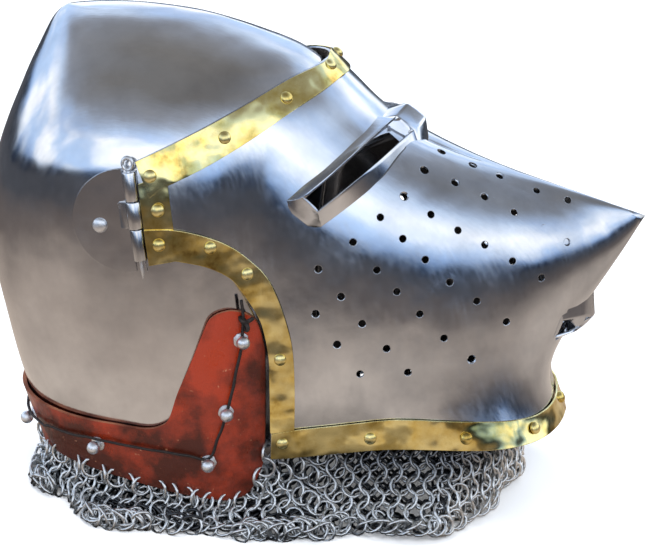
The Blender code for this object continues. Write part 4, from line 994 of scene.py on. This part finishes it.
def frame_windows(sights):
    """Blocks that cut the visor's sheet away under the slots of the raised frames."""
    kept = sights[2:-6]
    insets = [0.12 + 0.20 * max(k / len(kept) - 0.6, 0) / 0.4 for k in range(len(kept))]
    low = [s[0].lerp(s[3], inset) for s, inset in zip(kept, insets)]
    high = [s[3].lerp(s[0], inset) for s, inset in zip(kept, insets)]
    sight = [(p.y, p.z) for p in low] + [(p.y, p.z) for p in high[::-1]]
    foot, head = height_at(MOUTH_WINDOW_FOOT), height_at(MOUTH_WINDOW_HEAD)
    ahead, behind = MOUTH_WINDOW_Y
    mouth = [(ahead, foot), (behind, foot), (behind, head), (ahead, head)]
    return [prism(outline, *span) for outline, (near, far) in ((sight, SIGHT_WINDOW), (mouth, MOUTH_WINDOW))
            for span in ((near, far), (-far, -near))]


def make_visor(half):
    mesh = sheet(half, WALL, -WALL)
    mesh = boolean(mesh, prism(visor_outline()), "INTERSECT")
    sights, mouths = sections_of(sight_sections()), sections_of(mouth_sections())
    mesh = boolean(mesh, joined("cuts", breath_cutters() + frame_windows(sights)), "DIFFERENCE")
    shade_like(mesh, half)
    visor = add_piece("polished_visor", mesh, "visor_assembly", [VISOR_STEEL], smooth=None)
    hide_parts("visor")

    for name, rows, first, last, sag in (("sight", sights, 0, len(sights) - 7, SIGHT_SAG),
                                         ("mouth", mouths, 3, len(mouths) - 6, 0.0)):
        left = collar(rows, first, last, FRAME_WALL, sag)
        piece = add_piece(f"{name}_frame_walls", both_sides(left), "visor_assembly", [VISOR_STEEL])
        piece.data = with_modifiers(piece.data,
                                    ("BEVEL", {"width": FRAME_EDGE, "segments": 2, "limit_method": "ANGLE",
                                               "angle_limit": radians(40), "harden_normals": False}))
        flat_shade(piece, 35)
        cap = with_modifiers(bridge(rows, last, FRAME_WALL),
                             ("BEVEL", {"width": BRIDGE_EDGE, "segments": 4, "limit_method": "ANGLE",
                                        "angle_limit": radians(30)}))
        piece = add_piece(f"{name}_frame_bridge", cap, "visor_assembly", [VISOR_STEEL])
        flat_shade(piece, 35)


def flat_shade(obj, degrees):
    """Smooth faces that meet at a small angle and keep the others crisp."""
    mesh = obj.data
    for polygon in mesh.polygons:
        polygon.use_smooth = True
    mesh.set_sharp_from_angle(angle=radians(degrees))


# Brass

BAND_THICKNESS, BAND_STAND = 0.0009, 0.0010
UNDER_THICKNESS, UNDER_STAND = 0.0008, 0.0001
BAND_GAP = 0.0003
BAND_LAP = 0.007
BROW_BAND_END = 0.006


def make_bands(half):
    """The brow band lies over the hinge bands; the cheek bands stand on the bottom bands."""
    rear = rear_line()
    brow_top = edge_line(BROW_EDGE[1:])
    brow_low = edge_line(BROW_BAND_EDGE)
    cheek_low = edge_line(CHEEK_EDGE[:-1])
    cheek_high = edge_line(CHEEK_BAND_EDGE)
    bottom_low = edge_line(BOTTOM_EDGE, 4)
    bottom_high = edge_line(BOTTOM_BAND_EDGE)
    front = JOIN_Y - FAR
    foot_z, top_z = brow_low[0][1], height_at(BROW_CORNER)
    cheek_z = cheek_high[0][1]
    base_z = height_at(CHEEK_CORNER)
    corner = rear(foot_z) - BROW_BAND_END
    brow = ([p for p in brow_low[::-1] if p[0] < corner - 0.001] + [(corner, foot_z - 0.0004), (rear(top_z), top_z)]
            + brow_top
            + [(brow_top[-1][0], brow_top[-1][1] + FAR), (front, brow_top[-1][1] + FAR), (front, brow_low[-1][1])])
    hinge_front = [side(p) for p in HINGE_BAND_EDGE]
    under = curve([p[0] for p in brow_low[::-1]], [p[1] for p in brow_low[::-1]])
    low, high = cheek_z - BAND_LAP, foot_z + BAND_LAP
    hinge = [(hinge_front[0][0], low), (rear(low), low), (rear(high), high),
             (hinge_front[1][0], under(hinge_front[1][0]) + BAND_LAP)]
    over = bottom_high[0][1] + BAND_GAP
    cheek = ([(rear(cheek_z), cheek_z)] + cheek_high[1:] + [(bottom_high[0][0], over)]
             + [p for p in cheek_low if p[1] > over] + [(rear(base_z), base_z)])
    bottom = bottom_low[::-1] + [(front, bottom_low[0][1]), (front, bottom_high[-1][1])] + bottom_high[::-1]
    base, under_base = sheet(half, BAND_THICKNESS, BAND_STAND), sheet(half, UNDER_THICKNESS, UNDER_STAND)
    tops = {"brow_band": (brow, -SIDE_REACH, SIDE_REACH)}
    for name, outline in (("hinge_band", hinge), ("cheek_band", cheek), ("bottom_band", bottom)):
        tops[name + "_left"] = (outline, CHIN_GAP / 2, SIDE_REACH)
        tops[name + "_right"] = (outline, -SIDE_REACH, -CHIN_GAP / 2)
    for name, (outline, low, high) in tops.items():
        mesh = boolean(under_base if name.startswith("hinge") else base, prism(outline, low, high), "INTERSECT")
        shade_like(mesh, half)
        piece = add_piece("hammered_" + name, mesh, "visor_assembly", [BAND_BRASS], smooth=None)
        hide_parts(name)


RIVET_RADIUS = 0.0038
RIVET_HEIGHT = 0.0027
RIVET_STAND = 0.0017
CHIN_RIVET_STAND = 0.0019
HEAD_FOOT = 0.0006
HEAD_EDGE = 0.0002


def make_rivets():
    """Domed rivets, each hammered a little out of true."""
    pick = random.Random(7)
    meshes = []
    spots = [(point_on(visor_x, p, RIVET_STAND), normal_on(visor_x, *side(p))) for p in RIVETS]
    z = height_at(CHIN_RIVET_HEIGHT)
    chin = Vector((0, JOIN_Y - front_reach(CHIN_RIVET_HEIGHT) * FACE_REACH, z)) + ridge_normal(z) * CHIN_RIVET_STAND
    pairs = spots + [(mirrored(p), mirrored(n)) for p, n in spots] + [(chin, ridge_normal(z))]
    for point, out in pairs:
        radius, height = RIVET_RADIUS * pick.uniform(0.96, 1.03), RIVET_HEIGHT * pick.uniform(0.9, 1.03)
        profile = [(0, -HEAD_FOOT), (radius, -HEAD_FOOT), (radius, HEAD_EDGE)]
        profile += [(radius * cos(a), HEAD_EDGE + (height - HEAD_EDGE) * sin(a)) for a in
                    [pi / 2 * k / 7 for k in range(1, 7)]] + [(0, height)]
        mesh = turned(profile, 24)
        lean = Vector((pick.uniform(-1, 1), pick.uniform(-1, 1), 0)) * 0.06
        meshes.append(placed(mesh, point, (out + lean * 0.5).normalized()))
    names = [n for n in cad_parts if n.startswith("rivet_")]
    piece = add_piece("domed_rivets", joined("domed_rivets", meshes), "visor_assembly", [RIVET_BRASS])
    flat_shade(piece, 50)
    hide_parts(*names)


# Leather, lace and vervelles

LEATHER_THICKNESS = 0.0024
LEATHER_STAND = 0.0012
LACE_LIFT = 0.0058
LACE_RADIUS = 0.0011
KNOT_CORD_RADIUS = 0.0013
VERVELLE_STAND = 0.0037
VERVELLE_BALL = 0.0040
VERVELLE_CENTRE = 0.0054


def make_leather():
    heights = [SKULL_FOOT + SKULL_HEIGHT * (-0.11 + 0.56 * k / 40) for k in range(41)]
    half = half_sheet(skull_rows(heights, 72, False))
    mesh = sheet(half, LEATHER_THICKNESS, LEATHER_STAND)
    outline = edge_line(LEATHER_TOP, 4) + edge_line(LEATHER_FOOT, 4)[1:]
    mesh = boolean(mesh, prism(outline), "INTERSECT")
    shade_like(mesh, half, side_material=1)
    piece = add_piece("aventail_red_leather", mesh, "helmet", [RED_LEATHER, CUT_LEATHER], smooth=None)
    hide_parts("aventail_leather")


def make_vervelles():
    """Balls on short necks over ragged washers, turned a little unlike one another."""
    pick = random.Random(11)
    meshes = []
    for place in VERVELLES:
        for flip in (1, -1):
            point = point_on(skull_x, place, VERVELLE_STAND)
            out = normal_on(skull_x, *side(place))
            profile = [(0, 0), (0.0046, 0), (0.0045, 0.0007), (0.0026, 0.0011), (0.0018, 0.0014), (0.0018, 0.0019)]
            ball, centre = VERVELLE_BALL * pick.uniform(0.97, 1.02), VERVELLE_CENTRE
            profile += [(ball * cos(a), centre + ball * sin(a)) for a in
                        [-1.12 + 2.6 * k / 9 for k in range(9)]] + [(0, centre + ball)]
            mesh = turned(profile, 20)
            for vertex in mesh.vertices:
                if vertex.co.z < 0.0012:
                    ragged = 1 + 0.12 * noise.noise(vertex.co * 900 + Vector((place[0] * 90, flip, 0)))
                    vertex.co.x *= ragged
                    vertex.co.y *= ragged
            meshes.append(placed(mesh, point if flip > 0 else mirrored(point), out if flip > 0 else mirrored(out)))
    names = [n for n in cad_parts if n.startswith("vervelle_")]
    piece = add_piece("turned_vervelles", joined("turned_vervelles", meshes), "helmet",
                      [BALL_STEEL])
    flat_shade(piece, 50)
    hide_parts(*names)


def make_lace():
    """One thong under the balls of the vervelles, knotted at its two ends."""
    half = [point_on(skull_x, place, LACE_LIFT) for place in LACE_ROUTE]
    z = half[-1].z
    _, back, width, widest, _ = skull_section(z)
    start = atan2(half[-1].x / width, (half[-1].y - widest) / (back - widest))
    for k in range(1, 6):
        y = widest + (back - widest) * cos(start * (1 - k / 5))
        out = Vector((0, 1, 0)) if k == 5 else normal_on(skull_x, y, z)
        half.append(Vector((0.0 if k == 5 else skull_x(y, z), y, z)) + out * LACE_LIFT)
    route = smooth_line([tuple(p) for p in half + [mirrored(p) for p in half[-2::-1]]], 5)
    aside = [Vector((0, 0, 0)), Vector((9, 0, 0)), Vector((0, 9, 0))]
    wander = [Vector(p) + Vector([noise.noise(Vector(p) * 90 + a) for a in aside]) * 0.0005 for p in route]
    meshes = [tube(wander, LACE_RADIUS, 10, squash=0.7)]
    for flip in (1, -1):
        spot = point_on(skull_x, LACE_KNOT_PLACE, LACE_LIFT + 0.0012)
        out = normal_on(skull_x, *side(LACE_KNOT_PLACE))
        across = Vector((0, 1, 0))
        up = out.cross(across).normalized()
        knot = []
        for k in range(40):
            t = 2 * pi * k / 40
            knot.append(spot + across * 0.0021 * (sin(t) + 0.9 * sin(2 * t))
                        + up * 0.0024 * (cos(t) - 0.9 * cos(2 * t)) + out * 0.0016 * sin(3 * t))
        mesh = tube(knot, KNOT_CORD_RADIUS, 8, closed=True)
        meshes.append(mesh if flip > 0 else mirror_mesh(mesh))
    piece = add_piece("knotted_lace", joined("knotted_lace", meshes), "helmet", [DARK_THONG])
    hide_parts("lace")


# Mail

RING_RADIUS = 0.0061
WIRE_RADIUS = 0.00098
ROW_PITCH = 0.0062
RING_PITCH = 0.0097
RING_LEAN = radians(21)
RING_STEPS, WIRE_STEPS = 12, 5
LAYERS = [("aventail_mail_links", 0.0, 11), ("aventail_mail_inner_links", 0.0085, 9)]  # name, depth inside, rows
MAIL_TUCK = 0.0013  # under the leather
FOLDS = 13
FOLD_DEPTH, SWAY_DEPTH, MAIL_INSET = 0.0055, 0.004, 0.0035
HANG_SHARE = 0.90  # how much of the height hangs before the rest heaps on the floor
REST_HEIGHT, HEAP_HEIGHT = 0.0040, 0.0022
LEATHER_RING_SPACING = 0.0078
LOWEST_WIRE = 0.0002


def mail_tracks():
    """The mail's top and foot all round, in pairs of points."""
    tracks = [curve(list(range(len(MAIL))), [row[k] for row in MAIL]) for k in range(5)]
    half = []
    for k in range(0, 6 * (len(MAIL) - 1) + 1):
        top_x, top_v, top_h, foot_x, foot_v = [t(k / 6) for t in tracks]
        y, z = side((top_v, top_h))
        reach = max(top_x, 0) * HALF_WIDTH
        if top_v < 0:
            reach = min(reach, max(skull_x(y, z) - MAIL_TUCK, 0))
        half.append((Vector((reach, y, z)), Vector((max(foot_x, 0) * HALF_WIDTH, side((foot_v, 0))[0], 0))))
    return half + [(mirrored(a), mirrored(b)) for a, b in half[-2:0:-1]]


LINK_FACES = grid_faces(RING_STEPS, WIRE_STEPS, wrap_rows=True, wrap_cols=True)


def add_link(points, faces, centre, a, b):
    """One round link in the plane of a and b."""
    axis = a.cross(b).normalized()
    start = len(points)
    for i in range(RING_STEPS):
        spoke = a * cos(2 * pi * i / RING_STEPS) + b * sin(2 * pi * i / RING_STEPS)
        for j in range(WIRE_STEPS):
            turn = 2 * pi * j / WIRE_STEPS
            points.append(centre + spoke * (RING_RADIUS + WIRE_RADIUS * cos(turn)) + axis * WIRE_RADIUS * sin(turn))
    faces.extend(tuple(start + v for v in face) for face in LINK_FACES)


def make_mail():
    """Alternate rows of round links lean opposite ways, so each passes through two above and two below."""
    loop = mail_tracks()
    n = len(loop)
    lengths = [0.0]
    middles = [top.lerp(foot, 0.6) for top, foot in loop]
    for k in range(n):
        lengths.append(lengths[-1] + (middles[(k + 1) % n] - middles[k]).length)
    whole = lengths[-1]
    count = 2 * round(whole / RING_PITCH / 2)

    def place(u, down, inside):
        """A point of the hanging mail: u round the loop from 0 to 1, down in metres along it."""
        u %= 1.0
        along = u * whole
        k = min(max(i for i in range(n) if lengths[i] <= along), n - 1)
        t = (along - lengths[k]) / (lengths[k + 1] - lengths[k])
        top = loop[k][0].lerp(loop[(k + 1) % n][0], t)
        foot = loop[k][1].lerp(loop[(k + 1) % n][1], t)
        tangent = loop[(k + 1) % n][1] - loop[k][1]
        out = Vector((tangent.y, -tangent.x, 0)).normalized()
        if out.dot(Vector((foot.x, foot.y - 0.03, 0))) < 0:
            out.negate()
        round_u = Vector((cos(2 * pi * u), sin(2 * pi * u), inside * 40))
        slow = noise.noise(round_u * 2.3)
        fold = 0.45 * sin(u * 2 * pi * FOLDS + 2.4 * slow)
        fold += 0.55 * noise.noise(round_u * 4.5 + Vector((0, 0, down * 16)))
        top = top + Vector((0, 0, 0.002)) - out * (0.0005 + inside)
        straight = top.z * HANG_SHARE
        share = min(down / straight, 1.0)
        wall = top.lerp(Vector((foot.x, foot.y, 0.0)) - out * inside, share ** 1.3)
        wall.z = top.z - down if down < straight else max(top.z - straight, 0)
        wall += out * ((fold * FOLD_DEPTH + slow * SWAY_DEPTH) * share - MAIL_INSET)
        if down > straight:
            under = down - straight
            heap = 1 if slow > -0.05 else -1
            wall += out * under * (0.35 * heap - 0.25)
            wall.z += HEAP_HEIGHT * (1 + sin(under * 400 + u * 60))
        wall.z = max(wall.z, REST_HEIGHT + HEAP_HEIGHT * max(fold, 0))
        return wall

    pick = random.Random(3)
    for name, inside, rows in LAYERS:
        points, faces = [], []
        for row in range(rows):
            down = row * ROW_PITCH
            for i in range(count):
                u = (i + 0.5 * (row % 2)) / count
                centre = place(u, down, inside)
                ahead = (place(u + 0.25 / count, down, inside) - place(u - 0.25 / count, down, inside)).normalized()
                below = place(u, down + 0.003, inside) - place(u, max(down - 0.003, 0), inside)
                below = (below - ahead * below.dot(ahead)).normalized()
                facing = ahead.cross(below).normalized()
                lean = (RING_LEAN if row % 2 else -RING_LEAN) + pick.uniform(-0.16, 0.16)
                tilt = pick.uniform(-0.18, 0.18)
                a = (ahead * cos(lean) + facing * sin(lean)).normalized()
                b = (below * cos(tilt) + a.cross(below) * sin(tilt)).normalized()
                add_link(points, faces, centre, a, b)
        if not inside:
            foot = edge_line(LEATHER_FOOT, 8)
            travel = 0.0
            for (y0, z0), (y1, z1) in zip(foot, foot[1:]):
                travel += hypot(y1 - y0, z1 - z0)
                if travel < LEATHER_RING_SPACING or z0 > 0.05 or skull_x(y0, z0) < 0.02:
                    continue
                travel = 0.0
                out = normal_on(skull_x, y0, z0)
                centre = Vector((skull_x(y0, z0), y0, z0 - pick.uniform(0.0, 0.0020))) + out * 0.0026
                yaw = pick.uniform(0.75, 1.2) * pick.choice((-1, 1))
                along = out.cross(Vector((0, 0, 1))).normalized()
                a = (out * cos(yaw) + along * sin(yaw)).normalized()
                b = (Vector((0, 0, 1)) - a * a.z).normalized()
                add_link(points, faces, centre, a, b)
                add_link(points, faces, mirrored(centre), mirrored(a), mirrored(b))
        for point in points:
            point.z = max(point.z, LOWEST_WIRE)
        mesh = bpy.data.meshes.new(name)
        mesh.from_pydata(points, [], faces)
        # The inner layer takes the dark wire that paints the shade inside the mail.
        piece = add_piece(name, mesh, "helmet", [SHADED_INNER_WIRE if inside else MAIL_WIRE])
        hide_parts("mail_aventail")


# Hinges, pins and pivot plates

PIN_STAND, PIN_LEAN = 0.0044, 0.065
PLATE_RADIUS, PLATE_REACH, PLATE_THICKNESS, PLATE_LIFT = 0.031, 0.048, 0.0009, 0.0003
PLATE_HINGE_GAP = 0.0047
KNUCKLE_SPLITS = (0.36, 0.67)
KNUCKLE_GAP = 0.0003
LEAF_BARREL, LEAF_THICKNESS, LEAF_REACH, LEAF_DEPTH = 0.0041, 0.0010, 0.0150, 0.0030
STRAP_BARREL, STRAP_THICKNESS, STRAP_REACH = 0.0046, 0.0020, 0.0092
PIVOT_HEAD_RADIUS, PIVOT_HEAD_HEIGHT, PIVOT_HEAD_EDGE, PIVOT_HEAD_FOOT = 0.0044, 0.0023, 0.0003, 0.0008
PIN_RADIUS, PIN_TIP, PIN_TAPER = 0.0012, 0.0110, 0.0040
EYE_RADIUS, EYE_RISE, EYE_WIRE, EYE_DEPTH, EYE_NARROW = 0.0034, 0.0046, 0.0012, 0.0014, 0.86
TURNS = [2 * pi * j / 96 for j in range(96)]


def pin_line():
    """Foot and top of the left pin's axis."""
    pivot_y, pivot_z = side(PIVOT)
    reach = skull_x(pivot_y, pivot_z) + PIN_STAND
    ends = []
    for place in (PIN_FOOT, PIN_TOP):
        y, z = side(place)
        ends.append(Vector((reach - PIN_LEAN * (z - pivot_z), y, z)))
    return ends


def wrapped_strap(foot, along, start, end, radius, thick, reach, depth):
    """A strap rolled round the pin: a barrel with a flat tail that reaches forward or backward."""
    backward = Vector((0, 1, 0)) - along * along.y
    backward.normalize()
    outward = backward.cross(along)
    if outward.x < 0:
        outward.negate()
    way = 1 if reach > 0 else -1
    length = abs(reach)
    outline = [(length, -depth), (radius * 0.3, -depth)]
    outline += [(-radius * sin(t), -radius * cos(t)) for t in [pi * k / 16 for k in range(0, 17)]]
    outline += [(radius * sin(t), radius * cos(t)) for t in [pi * k / 16 for k in range(1, 9)]]
    outline += [(radius * 1.25, thick - depth + 0.0007), (radius * 1.8, thick - depth), (length, thick - depth)]
    steps = [start, start + 0.0006, end - 0.0006, end]
    rings = []
    for number, step in enumerate(steps):
        shrink = 0.93 if number in (0, 3) else 1.0
        middle = foot + along * step
        rings.append([middle + backward * way * e * shrink + outward * r * shrink for e, r in outline])
    return lofted("strap", rings)


def dome_reach(radius):
    """How far out the pivot plate's underside lies, at a distance from the pivot."""
    y0, z0 = side(PIVOT)
    return max(skull_x(y0 + radius * cos(t), z0 + radius * sin(t)) for t in TURNS) + PLATE_LIFT


def pivot_dome():
    """A plate turned about the pivot, so that it slides on the skull at any lift of the visor."""
    y0, z0 = side(PIVOT)
    rings = []
    for k in range(25):
        radius = 0.0012 + PLATE_REACH * k / 24
        reach = dome_reach(radius)
        rings.append([Vector((reach, y0 + radius * cos(t), z0 + radius * sin(t))) for t in TURNS])
    points = [p for ring in rings for p in ring]
    faces = grid_faces(len(rings), 96, wrap_cols=True) + [tuple(range(96))]
    dome = mesh_from("dome", points, faces, outward=False)
    if dome.polygons[40].normal.x < 0:
        dome.flip_normals()
    return with_modifiers(dome, ("SOLIDIFY", {"thickness": PLATE_THICKNESS, "offset": 1.0}))


def make_hinges():
    foot, top = pin_line()
    along = (top - foot).normalized()
    length = (top - foot).length
    splits = [0.0] + [share * length for share in KNUCKLE_SPLITS] + [length]
    centre_y, centre_z = side(PLATE_CENTRE)
    lean = (top.y - foot.y) / (top.z - foot.z)
    outline = []
    for turn in TURNS:
        y = centre_y + PLATE_RADIUS * cos(turn)
        z = centre_z + PLATE_RADIUS * sin(turn)
        outline.append((max(y, foot.y + lean * (z - foot.z) + PLATE_HINGE_GAP), z))
    outline = [q for i, q in enumerate(outline) if hypot(q[0] - outline[i - 1][0], q[1] - outline[i - 1][1]) > 1e-5]
    dome = boolean(pivot_dome(), prism(outline, 0.05, 0.12), "INTERSECT")
    sunk = ((foot + top) / 2).x - dome_reach(0.020) - 0.0004

    def strap(k, barrel, thick, reach, depth):
        return wrapped_strap(foot, along, splits[k] + KNUCKLE_GAP, splits[k + 1] - KNUCKLE_GAP, barrel, thick, reach,
                             depth)
    middle = strap(1, STRAP_BARREL, STRAP_THICKNESS, STRAP_REACH, sunk)
    leaves = joined("leaf", [strap(k, LEAF_BARREL, LEAF_THICKNESS, -LEAF_REACH, LEAF_DEPTH) for k in (0, 2)])
    pivot_y, pivot_z = side(PIVOT)
    profile = [(0, -PIVOT_HEAD_FOOT), (PIVOT_HEAD_RADIUS, -PIVOT_HEAD_FOOT), (PIVOT_HEAD_RADIUS, PIVOT_HEAD_EDGE)]
    profile += [(PIVOT_HEAD_RADIUS * cos(a), PIVOT_HEAD_EDGE + PIVOT_HEAD_HEIGHT * sin(a))
                for a in [pi / 2 * k / 7 for k in range(1, 7)]] + [(0, PIVOT_HEAD_EDGE + PIVOT_HEAD_HEIGHT)]
    head = placed(turned(profile, 28), Vector((skull_x(pivot_y, pivot_z) + 0.0012, pivot_y, pivot_z)),
                  Vector((1, 0, 0)))
    shaft = placed(turned([(0, -PIN_TIP), (0.0005, -PIN_TIP + 0.0005), (PIN_RADIUS, -PIN_TAPER),
                           (PIN_RADIUS, length + 0.0008), (0, length + 0.001)], 16), foot, along)
    aside = Vector((0, 1, 0)) - along * along.y
    aside.normalize()
    outward = along.cross(aside)
    eye = []
    for k in range(28):
        turn = 2 * pi * k / 28
        spoke = along * cos(turn) + aside * sin(turn) * EYE_NARROW
        eye.append([top + along * EYE_RISE + spoke * (EYE_RADIUS + EYE_WIRE * cos(2 * pi * j / 8))
                    + outward * EYE_DEPTH * sin(2 * pi * j / 8) for j in range(8)])
    pin = joined("pin", [shaft, lofted("eye", eye, caps=False, wrap_rows=True)])
    parts = [("pivot_plate_dome", dome, "visor_assembly", SKULL_STEEL, 40, "pivot_plate"),
             ("pivot_plate_strap", middle, "visor_assembly", HINGE_STEEL, 40, "pivot_plate"),
             ("visor_leaf", leaves, "visor_assembly", HINGE_STEEL, 40, "hinge_leaf"),
             ("pivot_rivet_dome", head, "helmet", BALL_STEEL, 50, "pivot_rivet"),
             ("ring_headed_pin", pin, "pin", BALL_STEEL, 50, "hinge_pin")]
    for name, flip in (("left", 1), ("right", -1)):
        for label, mesh, body, steel, crisp, node in parts:
            piece = add_piece(f"{label}_{name}", mesh.copy() if flip > 0 else mirror_mesh(mesh),
                              f"pin_{name}" if body == "pin" else body, [steel])
            flat_shade(piece, crisp)
            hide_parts(f"{node}_{name}")


studio()
VISOR_HALF = visor_half()
make_skull()
make_visor(VISOR_HALF)
make_bands(VISOR_HALF)
make_rivets()
make_leather()
make_vervelles()
make_lace()
make_mail()
make_hinges()

for data in list(bpy.data.meshes):
    if data.users == 0:
        bpy.data.meshes.remove(data)
